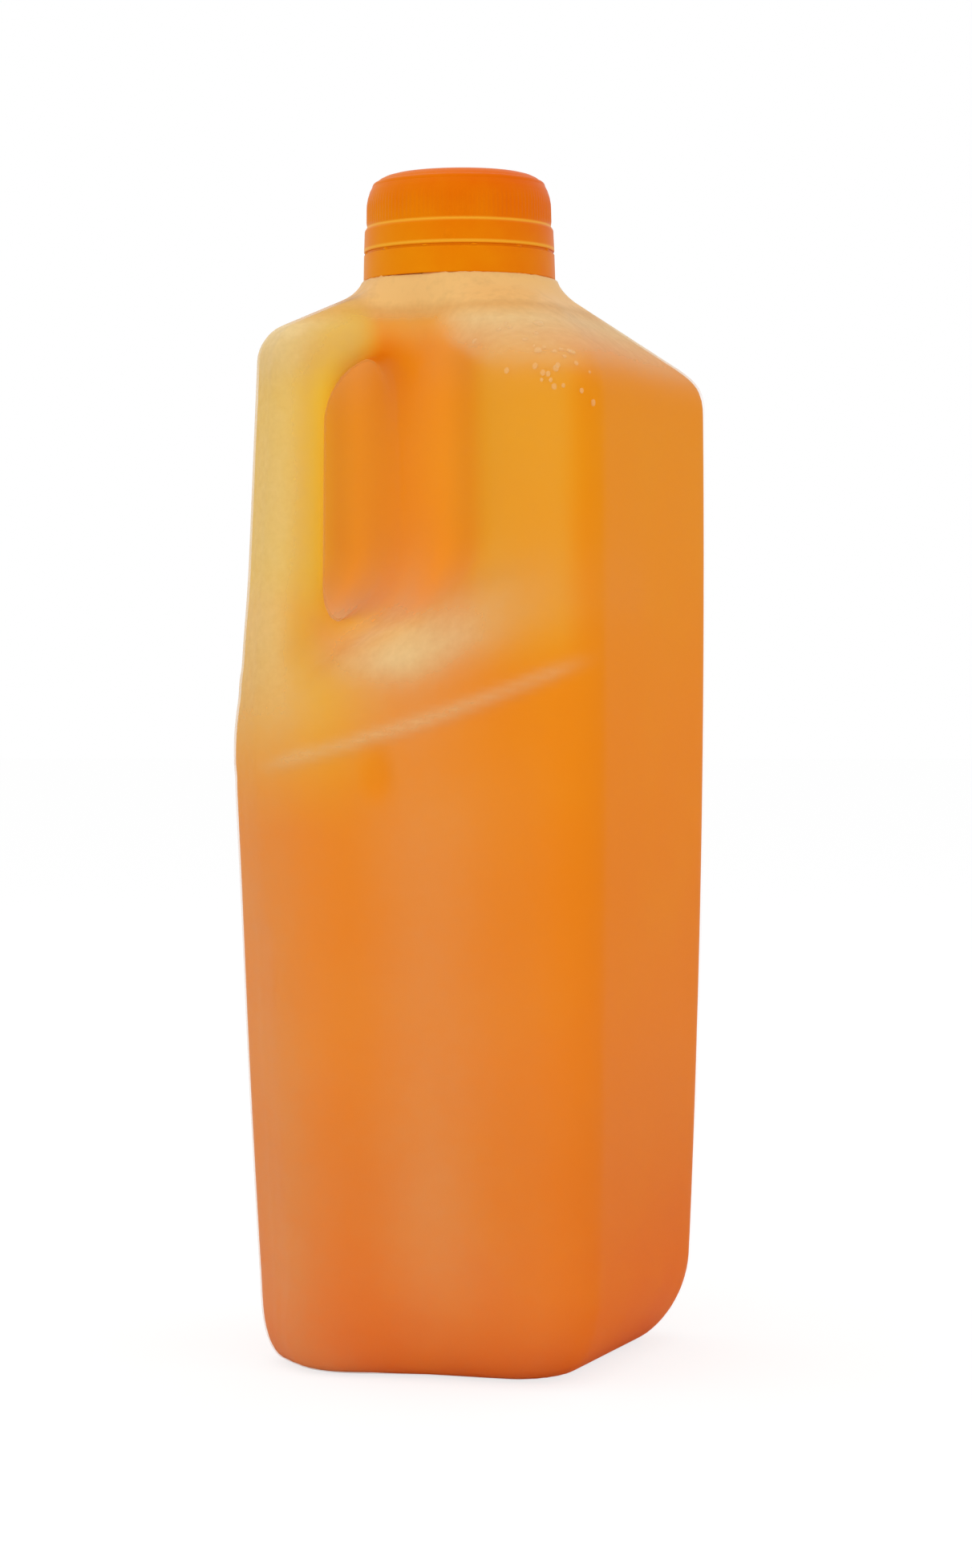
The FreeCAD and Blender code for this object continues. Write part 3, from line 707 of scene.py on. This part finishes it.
class Socket:
    """A node's output on which Python's operators add Math nodes."""

    def __init__(self, shader: "Shader", output: bpy.types.NodeSocket) -> None:
        """Keep the shader that the socket belongs to."""
        self.shader = shader
        self.output = output

    def math(self, operation: str, *values: object, clamp: bool = False) -> "Socket":
        """Add one Math node whose inputs are the values given, in order."""
        settings = {"operation": operation, "use_clamp": clamp}
        return self.shader.node("ShaderNodeMath", settings, dict(enumerate(values)))

    @staticmethod
    def operator(operation: str, swapped: bool = False) -> Callable[["Socket", object], "Socket"]:
        """A Python operator that adds a Math node for this socket and another, or for the two swapped."""
        return lambda self, other: self.math(operation, *((other, self) if swapped else (self, other)))

    __add__ = __radd__ = operator("ADD")
    __mul__ = __rmul__ = operator("MULTIPLY")
    __sub__ = operator("SUBTRACT")
    __rsub__ = operator("SUBTRACT", swapped=True)
    __truediv__ = operator("DIVIDE")

    def between(self, low: float, high: float) -> "Socket":
        """Keep the value between two limits."""
        return self.math("MAXIMUM", low, self.math("MINIMUM", self, high))


class Shader:
    """The node tree of a new material, or of a world, built node by node."""

    def __init__(self, name: str, kind: str = "materials") -> None:
        """Start an empty node tree in a new material, or in a new world."""
        self.owner = getattr(bpy.data, kind).new(name)
        self.owner.use_nodes = True
        self.tree = self.owner.node_tree
        self.tree.nodes.clear()

    def node(self, kind: str, settings: dict, inputs: dict, output: object = 0) -> Socket:
        """Add a node.

        Args:
            kind: its type.
            settings: its properties, set first; "stops" fills a colour ramp.
            inputs: by socket name or number, a value or a Socket to link.
            output: name or number of the output to hand back.

        Returns:
            That output.
        """
        node = self.tree.nodes.new(kind)
        for name, value in settings.items():
            if name == "stops":
                self.set_stops(node.color_ramp, value)
            else:
                setattr(node, name, value)
        for name, value in inputs.items():
            socket = node.inputs[name]
            if isinstance(value, Socket):
                self.tree.links.new(value.output, socket)
            else:
                socket.default_value = value
        return Socket(self, node.outputs[output])

    @staticmethod
    def set_stops(ramp: bpy.types.ColorRamp, stops: Sequence[tuple[float, Colour]]) -> None:
        """Fill a colour ramp with places and colours in rising order."""
        while len(ramp.elements) < len(stops):
            ramp.elements.new(1.0)
        for element, (place, colour) in zip(ramp.elements, stops):
            element.position = place
            element.color = colour

    def place(self) -> Socket:
        """The point being shaded, in the piece's own frame, in metres."""
        return self.node("ShaderNodeTexCoord", {}, {}, "Object")

    def axis(self, place: Socket, name: str) -> Socket:
        """One coordinate of a point."""
        return self.node("ShaderNodeSeparateXYZ", {}, {"Vector": place}, name)

    def field(self, name: str) -> Socket:
        """A number stored on the piece's vertices."""
        return self.node("ShaderNodeAttribute", {"attribute_name": name}, {}, "Fac")

    def noise(self, place: Socket, size: float, detail: float = 2.0) -> Socket:
        """Noise about 0.5 whose lumps are `size` millimetres across."""
        inputs = {"Vector": place, "Scale": 1 / (size * MM), "Detail": detail, "Roughness": 0.55}
        return self.node("ShaderNodeTexNoise", {}, inputs, "Fac")

    def mix(self, first: object, second: object, share: object) -> Socket:
        """Mix two colours by a share of the second."""
        return self.node("ShaderNodeMix", {"data_type": "RGBA"}, {0: share, 6: first, 7: second}, 2)

    def bump(self, height: Socket, strength: float, depth: float) -> Socket:
        """Turn a height into a normal; depth is the height of 1 in millimetres."""
        inputs = {"Height": height, "Strength": strength, "Distance": depth * MM}
        return self.node("ShaderNodeBump", {}, inputs, "Normal")

    def finish(self, **inputs: object) -> Material:
        """Add the Principled shader with its inputs, underscores standing for spaces, and the output."""
        named = {name.replace("_", " "): value for name, value in inputs.items()}
        self.show(self.node("ShaderNodeBsdfPrincipled", {}, named, "BSDF"))
        return self.owner

    def show(self, surface: Socket, kind: str = "ShaderNodeOutputMaterial") -> None:
        """Link a surface to an output node."""
        output = self.tree.nodes.new(kind)
        self.tree.links.new(surface.output, output.inputs["Surface"])


@dataclass(frozen=True)
class MilkyPlastic:
    """The jug's translucent wall: a pale skin that hides the drink only as far as it is hazy.

    Sizes are in millimetres; the collar's foot and slope are in metres and per metre.
    """

    tint: Colour = srgb(241, 211, 150)
    thin_tint: Colour = srgb(238, 201, 140)
    collar: Colour = srgb(231, 172, 96)
    sheen: Colour = srgb(255, 206, 130)
    roughness: float = 0.36
    cloud_size: float = 26.0
    grain_size: float = 2.2
    grain_depth: float = 0.04
    cloud_share: float = 0.5
    grain_share: float = 0.3
    most: float = 0.95
    thick_from: float = 0.1
    thick_slope: float = 3.0
    collar_foot: float = 0.2255
    collar_slope: float = 220.0
    collar_share: float = 0.72

    def material(self) -> Material:
        """A pale satin plastic whose opacity is the stored milkiness with its painted highlight and shade,
        clouded a little, over a fine orange-peel bump.

        The skin is yellower where it is thin and at the collar, which has no drink behind it.
        """
        s = Shader("milky_plastic")
        place = s.place()
        cloud = s.noise(place, self.cloud_size, 3.0) - 0.5
        grain = s.noise(place, self.grain_size, 2.0)
        lumps = cloud * self.cloud_share + (grain - 0.5) * self.grain_share
        haze_and_painted_light = (s.field("haze_and_painted_light") * (lumps + 1.0)).between(0.0, self.most)
        thick = ((haze_and_painted_light - self.thick_from) * self.thick_slope).between(0.0, 1.0)
        above = s.axis(place, "Z") - self.collar_foot
        collar = (above * self.collar_slope).between(0.0, self.collar_share)
        return s.finish(
            Base_Color=s.mix(s.mix(self.thin_tint, self.tint, thick), self.collar, collar),
            Roughness=(cloud * 0.12 + self.roughness).between(0.2, 0.6),
            IOR=1.5,
            Specular_IOR_Level=0.1,
            Specular_Tint=self.sheen,
            Alpha=haze_and_painted_light,
            Normal=s.bump(grain, 0.12, self.grain_depth),
        )


@dataclass(frozen=True)
class Orangeade:
    """The drink as seen through the wall: yellower at the top and where it is thin, redder at the bottom."""

    height: float = 240.0
    thin_colour: Colour = srgb(229, 186, 40)
    # through and strength: the colour and strength of the painted glow.
    through: Colour = srgb(218, 222, 60)
    strength: float = 0.3
    cloud_size: float = 38.0
    cloud_share: float = 0.12
    thin_cloud_share: float = 0.15
    sheen: Colour = srgb(255, 196, 110)
    stops: tuple[tuple[float, Colour], ...] = (
        (0.0, srgb(214, 92, 8)),
        (0.07, srgb(219, 102, 8)),
        (0.14, srgb(223, 111, 8)),
        (0.21, srgb(225, 116, 8)),
        (0.29, srgb(228, 120, 8)),
        (0.44, srgb(229, 125, 8)),
        (0.58, srgb(231, 130, 8)),
        (0.72, srgb(230, 136, 6)),
        (0.84, srgb(229, 138, 4)),
        (1.0, srgb(228, 132, 4)),
    )

    def material(self) -> Material:
        """A satin surface coloured by height and by the thin field, with slow clouds of pulp.

        The glow field adds painted glow, an emission that stands in for light coming through from behind and
        lifts the shade.
        """
        s = Shader("orangeade")
        place = s.place()
        cloud = s.noise(place, self.cloud_size, 3.0) - 0.5
        share = (s.axis(place, "Z") / (self.height * MM) + cloud * self.cloud_share).between(0.0, 1.0)
        deep = s.node("ShaderNodeValToRGB", {"stops": self.stops}, {"Fac": share}, "Color")
        thin = (s.field("thin") + cloud * self.thin_cloud_share).between(0.0, 1.0)
        through = s.mix(deep, self.through, s.field("thin"))
        # Painted glow: emission where light would come through from behind.
        painted_glow = s.mix(BLACK, through, s.field("glow"))
        return s.finish(
            Base_Color=s.mix(deep, self.thin_colour, thin),
            Roughness=0.4,
            IOR=1.4,
            Specular_IOR_Level=0.02,
            Specular_Tint=self.sheen,
            Emission_Color=painted_glow,
            Emission_Strength=self.strength,
        )


@dataclass(frozen=True)
class CapPlastic:
    """The cap's orange polypropylene, lighter towards its band, with painted light that makes it lighter
    towards -X and painted highlight lines on its edges.

    Heights are in metres and a slope is the change of a share in one metre.
    """

    deep: Colour = srgb(221, 98, 1)
    light: Colour = srgb(229, 146, 5)
    # edge: colour of the painted highlight lines on two of the cap's edges.
    edge: Colour = srgb(238, 176, 50)
    sheen: Colour = srgb(255, 190, 100)
    crown: float = 0.257
    band_slope: float = 60.0
    # Painted light: the slope makes the cap lighter towards -X, the side the key lamp lights.
    side_light_slope: float = 10.0
    shift: float = 0.06
    lightening: float = 0.45
    # Heights, strength and sharpness of the two painted highlight lines.
    edges: Span = (0.2435, 0.2484)
    highlight_share: float = 0.8
    highlight_slope: float = 1600.0
    cloud_size: float = 9.0
    grain_size: float = 0.7

    def material(self) -> Material:
        """An orange plastic with slow clouds, two painted highlight lines on its edges, painted light towards
        -X and a faint moulding grain.
        """
        s = Shader("cap_plastic")
        place = s.place()
        height = s.axis(place, "Z")
        band = ((self.crown - height) * self.band_slope).between(0.0, 1.0)
        cloud = s.noise(place, self.cloud_size, 3.0)
        grain = s.noise(place, self.grain_size, 2.0)
        # Painted light: lighter towards -X, the lit side.
        side = s.axis(place, "X") * self.side_light_slope
        share = band * self.lightening + cloud * self.lightening - side - self.shift
        colour = s.mix(self.deep, self.light, share.between(0.0, 1.0))
        # Painted highlight lines at the slot's edge and the step.
        for edge in self.edges:
            off = height.math("ABSOLUTE", height - edge)
            line = (self.highlight_share - off * self.highlight_slope).between(0.0, self.highlight_share)
            colour = s.mix(colour, self.edge, line)
        return s.finish(
            Base_Color=colour,
            Roughness=(cloud * 0.16 + 0.3).between(0.2, 0.6),
            IOR=1.49,
            Specular_IOR_Level=0.08,
            Specular_Tint=self.sheen,
            Normal=s.bump(grain, 0.3, 0.03),
        )


@dataclass(frozen=True)
class Water:
    """Drops of condensation."""

    tint: Colour = srgb(243, 208, 150)

    def material(self) -> Material:
        """Clear and glossy over the skin it sits on."""
        s = Shader("condensation")
        place = s.place()
        cloud = s.noise(place, 3.0, 1.0)
        alpha = (cloud * 0.2 + 0.2).between(0.15, 0.5)
        return s.finish(Base_Color=self.tint, Roughness=0.06, IOR=1.33, Alpha=alpha)


# --- sub-assemblies

def adopt(piece: Piece, material: Material, slot: str, *nodes: str) -> Piece:
    """Dress a piece, let it ride on the body and hide the CAD nodes that it replaces.

    Args:
        piece: the finished object.
        material: its finish.
        slot: the record's material slot; not used.
        nodes: the CAD nodes that it replaces.

    Returns:
        The same piece.
    """
    piece.data.materials.append(material)
    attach(piece, BODY)
    if nodes:
        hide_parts(*nodes)
    log.info("%s: %d faces", piece.name, len(piece.data.polygons))
    return piece


@dataclass
class FilledBody:
    """The moulded skin and the drink behind it."""

    form: JugForm = field(default_factory=JugForm)
    drink_level: float = 232.0
    skin_step: float = 1.3
    drink_step: float = 1.7
    reach: float = 47.0
    margin: float = 2.5

    def net(self, step: float, top: float) -> SurfaceNet:
        """A grid around the jug up to a height."""
        reach = self.reach
        return SurfaceNet(step, (-reach, -reach, -2.0), (reach, reach, top + self.margin))

    @staticmethod
    def coarser(share: float) -> float:
        return 1.0

    def outside(self, points: Array) -> Array:
        """Distance from the jug's outside."""
        return self.form.distance(points) + Offset.OUTSIDE.value

    def skin(self) -> Piece:
        """The outside of the jug, with its milkiness, painted highlight and painted shade stored on it."""
        net = self.net(self.skin_step * self.coarser(2.0), self.form.collar_height)
        points, quads = net.build(self.outside)
        normals = unit(self.form.gradient(points))
        points[:, 2] = np.maximum(points[:, 2], 0.0)
        piece = make_piece("jug_skin", points, quads)
        add_field(piece, "haze_and_painted_light", WallLook(self.form).haze_and_painted_light(points, normals))
        return adopt(piece, MilkyPlastic().material(), "clear_body", "jug")

    def drink_distance(self, points: Array) -> Array:
        """Distance from the drink: the form drawn in by half its wall, cut level at the drink's surface."""
        return round_trim(self.form.distance(points) + Offset.DRINK.value, points[:, 2] - self.drink_level, 0.5)

    def drink(self) -> Piece:
        """The drink, reaching into the middle of the wall."""
        net = self.net(self.drink_step * self.coarser(1.6), self.drink_level)
        points, quads = net.build(self.drink_distance)
        piece = make_piece("orangeade_fill", points, quads)
        look = DrinkLook()
        add_field(piece, "thin", look.thin(points))
        # glow holds the painted glow.
        add_field(piece, "glow", look.glow(points))
        return adopt(piece, Orangeade().material(), "drink", "orangeade")

    def build(self) -> None:
        """Make both pieces."""
        self.skin()
        self.drink()


@dataclass
class Neck:
    """The threaded neck under the cap."""

    radius: float = 18.7
    bore: float = 17.2
    low: float = 232.3
    foot: float = 236.6
    rim: float = 253.4
    thread_rise: float = 0.22
    thread_width: float = 0.55
    pitch: float = 4.2
    lip: float = 0.8
    turns: int = 240
    milk: float = 0.85

    def thread(self, radius: Array, height: Array, angle: Array) -> Array:
        """The thread: a rounded ridge that climbs one pitch a turn on the outer wall."""
        turn = (height - self.foot) / self.pitch - angle / (2 * math.pi)
        off = turn - np.round(turn)
        span = ease(height, self.foot + 3.0, self.foot + 4.0) * ease(height, self.rim - 3.0, self.rim - 4.0)
        ridge = bell(off * self.pitch, 0.0, self.thread_width) * span
        return self.thread_rise * ridge * (radius > self.bore + self.lip)

    def build(self) -> Piece:
        """A tube with a rounded rim, open through its bore down to the drink."""
        outer, inner, foot, low = self.radius, self.bore, self.foot, self.low
        outline = Outline((
            (outer, foot, 0.0), (outer, self.rim, 0.5), (inner, self.rim, 0.5), (inner, low, 0.4),
            (inner + self.lip, low, 0.4), (inner + self.lip, foot, 0.2), (outer, foot, 0.0),
        ))
        points, quads = spin(outline.sample(0.5)[:-1], self.turns, self.thread)
        piece = make_piece("jug_neck", points, quads)
        add_field(piece, "haze_and_painted_light", np.full(len(points), self.milk))
        return adopt(piece, bpy.data.materials["milky_plastic"], "clear_body")


@dataclass
class ScrewCap:
    """The screw cap with its fine knurls, the step below them, the tear slot and the tamper band."""

    top: float = 260.0
    bottom: float = 236.75
    foot_radius: float = 21.1
    foot_width: float = 0.45
    band_radius: float = 20.85
    crown_radius: float = 20.2
    step_height: float = 248.4
    slot_height: float = 243.0
    slot_gap: float = 0.5
    slot_depth: float = 0.35
    dome: float = 6.6
    inner_radius: float = 19.05
    roof: float = 258.4
    knurls: int = 120
    knurl_rise: float = 0.16
    knurl_foot: Span = (0.3, 1.2)
    knurl_end: Span = (256.5, 252.0)
    bridges: int = 12
    bridge_edge: Span = (1.8, 1.2)
    nub_angle: float = 4.96
    nub_height: float = 244.9
    nub_rise: float = 0.32
    nub_width: float = 0.6
    turns: int = 480

    def outline(self) -> Outline:
        """The cap's section, outside from the foot up over the dome, then down the inside."""
        band, crown, slot, step = self.band_radius, self.crown_radius, self.slot_height, self.step_height
        return Outline((
            (self.foot_radius - self.foot_width, self.bottom, 0.0),
            (self.foot_radius, self.bottom, 0.3),
            (band + 0.1, slot - self.slot_gap, 0.25),
            (band - self.slot_depth, slot - self.slot_gap, 0.12),
            (band - self.slot_depth, slot, 0.12),
            (band + 0.1, slot, 0.3),
            (band - 0.1, step - 0.7, 0.6),
            (crown, step + 0.2, 0.5),
            (crown - 0.15, self.top, self.dome),
            (0.0, self.top, 0.0),
        ))

    def inside(self) -> Outline:
        """The inner roof and wall."""
        return Outline((
            (0.0, self.roof, 0.0),
            (self.inner_radius, self.roof, 1.2),
            (self.inner_radius, self.slot_height + 1.0, 0.5),
            (self.inner_radius + 0.4, self.bottom, 0.4),
            (self.foot_radius - self.foot_width, self.bottom, 0.0),
        ))

    def relief(self, radius: Array, height: Array, angle: Array) -> Array:
        """Knurls as a cosine round the crown, bridges that fill the slot in places, and one moulding nub."""
        zone = ease(height - self.step_height, *self.knurl_foot) * ease(height, *self.knurl_end)
        ribs = self.knurl_rise * (0.5 + 0.5 * np.cos(self.knurls * angle)) * zone
        turn = angle * self.bridges / (2 * math.pi)
        near = np.abs(turn - np.round(turn)) * 360 / self.bridges
        low = (radius < self.band_radius - 0.2) & (height < self.slot_height + 0.1)
        inner = low & (radius > self.inner_radius + 0.9)
        bridge = (self.slot_depth - 0.03) * ease(near, *self.bridge_edge) * inner
        nub = bell((angle - self.nub_angle) * radius, 0.0, self.nub_width)
        nub = self.nub_rise * nub * bell(height, self.nub_height, self.nub_width)
        return (ribs + bridge + nub) * (radius > self.inner_radius + 0.6)

    def build(self) -> Piece:
        """Spin the outside and the inside as one closed surface."""
        outside = self.outline().sample(0.5)
        within = self.inside().sample(1.5)[1:-1]
        profile = np.concatenate([outside, np.array([[0.0, self.roof]]), within])
        points, quads = spin(profile, self.turns, self.relief)
        pole = len(outside) - 1
        ring = np.arange(pole * self.turns, (pole + 1) * self.turns)
        quads = quads[~np.isin(quads, ring).any(axis=1) | (quads.max(axis=1) < (pole + 1) * self.turns)]
        piece = make_piece("screw_cap", points, quads)
        merge_poles(piece)
        return adopt(piece, CapPlastic().material(), "cap_plastic", "cap")


@dataclass
class Condensation:
    """Drops on the shoulder by the front right corner and a few nearer the neck.

    A patch holds the count of its drops, their middle, their spread, and the scale and least of their sizes.
    """

    form: JugForm
    seed: int = 7
    rings: int = 7
    sides: int = 14
    flatness: float = 0.5
    length: float = 1.25
    patches: tuple[tuple[int, Triple, Triple, Span], ...] = (
        (26, (37.0, -38.0, 212.0), (4.0, 3.0, 5.0), (0.13, 0.22)),
        (6, (24.0, -34.0, 224.0), (5.0, 3.0, 2.0), (0.16, 0.3)),
    )

    def seeds(self) -> Array:
        """Starting places and sizes of the drops, in millimetres, near the surface."""
        rng = np.random.default_rng(self.seed)
        found = []
        for count, middle, spread, (scale, least) in self.patches:
            columns = [rng.normal(place, wide, count) for place, wide in zip(middle, spread)]
            found.append(np.stack([*columns, rng.gamma(3.0, scale, count) + least], axis=1))
        return np.concatenate(found)

    def build(self) -> Piece:
        """Each drop is half a flattened ball: a disc of rings raised by the square root of 1 - r^2.

        Drops that would stand out past the jug's half width are left out.
        """
        seeds = self.seeds()
        places = seeds[:, :3]
        for _turn in range(6):
            slope = self.form.gradient(places)
            size = np.maximum((slope**2).sum(1), 0.2)
            places = places - slope * (self.form.distance(places) / size)[:, None]
        normal = unit(self.form.gradient(places))
        side = unit(np.cross(normal, [0.0, 0.0, 1.0]))
        down = np.cross(normal, side)
        r = np.sin(np.linspace(0.0, 1.0, self.rings) * math.pi / 2)[:, None]
        u = np.linspace(0, 2 * math.pi, self.sides, endpoint=False)[None, :]
        rise = self.flatness * np.sqrt(1 - np.minimum(r, 1) ** 2) + 0 * u - 0.04
        disc = np.stack([r * np.cos(u), r * np.sin(u), rise], -1).reshape(-1, 3)
        scale = seeds[:, 3][:, None, None]
        points = places[:, None, :] + scale * (
            disc[None, :, :1] * side[:, None, :] + disc[None, :, 1:2] * self.length * down[:, None, :]
            + disc[None, :, 2:] * normal[:, None, :]
        )
        quad = np.roll(sheet(np.arange(self.rings - 1), self.sides, self.rings)[:, ::-1], 1, axis=1)
        points = points[np.abs(points[..., :2]).max(axis=(1, 2)) < self.form.top_half]
        quads = (np.arange(len(points))[:, None, None] * len(disc) + quad[None]).reshape(-1, 4)
        piece = make_piece("condensation", points.reshape(-1, 3), quads)
        merge_poles(piece)
        return adopt(piece, Water().material(), "clear_body")


# --- stage

@dataclass
class Studio:
    """Floor, soft light and camera; each lamp has a name, a place, a size and a power."""

    azimuth: float = 21.2
    distance: float = 850.8
    eye: float = 149.05
    yaw: float = 0.335
    pitch: float = -1.55
    roll: float = -0.45
    lens: float = 88.4
    floor_half: float = 6000.0
    floor_height: float = -0.05
    floor_glow: float = 1.1
    floor_seen: float = 0.7
    world_light: float = 0.85
    world_seen: float = 1.0
    aim: float = 0.13
    lamps: tuple[tuple[str, Triple, float, float], ...] = (
        ("key", (-0.35, -1.5, 0.75), 1.4, 4.0),
        ("fill", (1.3, -0.6, 0.3), 1.0, 3.2),
        ("top", (-0.2, 0.0, 1.4), 1.2, 3.0),
    )

    def floor(self) -> Piece:
        """A wide pale floor that shows white to the camera and keeps the jug's soft shadow."""
        corners = ((-1, -1), (1, -1), (1, 1), (-1, 1))
        points = np.array([[x * self.floor_half, y * self.floor_half, self.floor_height] for x, y in corners])
        floor = make_piece("floor", points, np.array([[0, 1, 2, 3]]))
        s = Shader("floor")
        seen = s.node("ShaderNodeLightPath", {}, {}, "Is Camera Ray")
        diffuse = s.node("ShaderNodeBsdfDiffuse", {}, {"Color": srgb(240, 240, 240)}, "BSDF")
        glow = s.node("ShaderNodeEmission", {}, {"Color": WHITE, "Strength": self.floor_glow}, "Emission")
        s.show(s.node("ShaderNodeMixShader", {}, {0: seen * self.floor_seen, 1: diffuse, 2: glow}, "Shader"))
        floor.data.materials.append(s.owner)
        return floor

    def lights(self) -> None:
        """A white surrounding and three broad lamps: key at the upper left, fill at the right, one above."""
        s = Shader("studio", "worlds")
        rays = [s.node("ShaderNodeLightPath", {}, {}, f"Is {ray} Ray") for ray in ("Camera", "Transmission")]
        limits = {"To Min": self.world_light, "To Max": self.world_seen}
        limits["Value"] = rays[0].math("MAXIMUM", *rays)
        strength = s.node("ShaderNodeMapRange", {}, limits, "Result")
        s.show(s.node("ShaderNodeBackground", {}, {"Color": WHITE, "Strength": strength}, "Background"),
               "ShaderNodeOutputWorld")
        bpy.context.scene.world = s.owner
        for lamp in self.lamps:
            self.lamp(*lamp)

    def lamp(self, name: str, place: Triple, size: float, power: float) -> None:
        """A square lamp that faces the middle of the jug."""
        data = bpy.data.lights.new(name, "AREA")
        data.shape, data.size, data.energy = "SQUARE", size, power
        lamp = place_object(name, data)
        lamp.location = place
        lamp.rotation_euler = (Vector(place) - Vector((0, 0, self.aim))).to_track_quat("Z", "Y").to_euler()

    @staticmethod
    def swing(first: Vector, second: Vector, angle: float) -> tuple[Vector, Vector]:
        """Turn two axes at right angles by an angle, the first towards the second."""
        cosine, sine = math.cos(angle), math.sin(angle)
        return cosine * first + sine * second, cosine * second - sine * first

    def camera(self) -> None:
        """A long lens a little above the middle of the jug, seen from the front right."""
        az, yaw, pitch, roll = (math.radians(v) for v in (self.azimuth, self.yaw, self.pitch, self.roll))
        forward = Vector((-math.sin(az), math.cos(az), 0))
        right = Vector((math.cos(az), math.sin(az), 0))
        up = Vector((0, 0, 1))
        forward, right = self.swing(forward, right, yaw)
        forward, up = self.swing(forward, up, pitch)
        right, up = self.swing(right, up, roll)
        data = bpy.data.cameras.new("camera")
        data.sensor_fit, data.sensor_height, data.lens = "VERTICAL", 36.0, self.lens
        data.clip_end = 50.0
        camera = place_object("camera", data)
        turn = Matrix((right, up, -forward)).transposed().to_4x4()
        place = Vector((math.sin(az) * self.distance, -math.cos(az) * self.distance, self.eye)) * MM
        camera.matrix_world = Matrix.Translation(place) @ turn
        bpy.context.scene.camera = camera

    def build(self) -> None:
        """Set the stage."""
        self.floor()
        self.lights()
        self.camera()
        bpy.context.scene.view_settings.view_transform = "Standard"


def main() -> None:
    """Build every sub-assembly and the stage."""
    logging.basicConfig(level=logging.INFO)
    body = FilledBody()
    body.build()
    Neck().build()
    ScrewCap().build()
    Condensation(body.form).build()
    Studio().build()


if __name__ == "__main__":
    main()
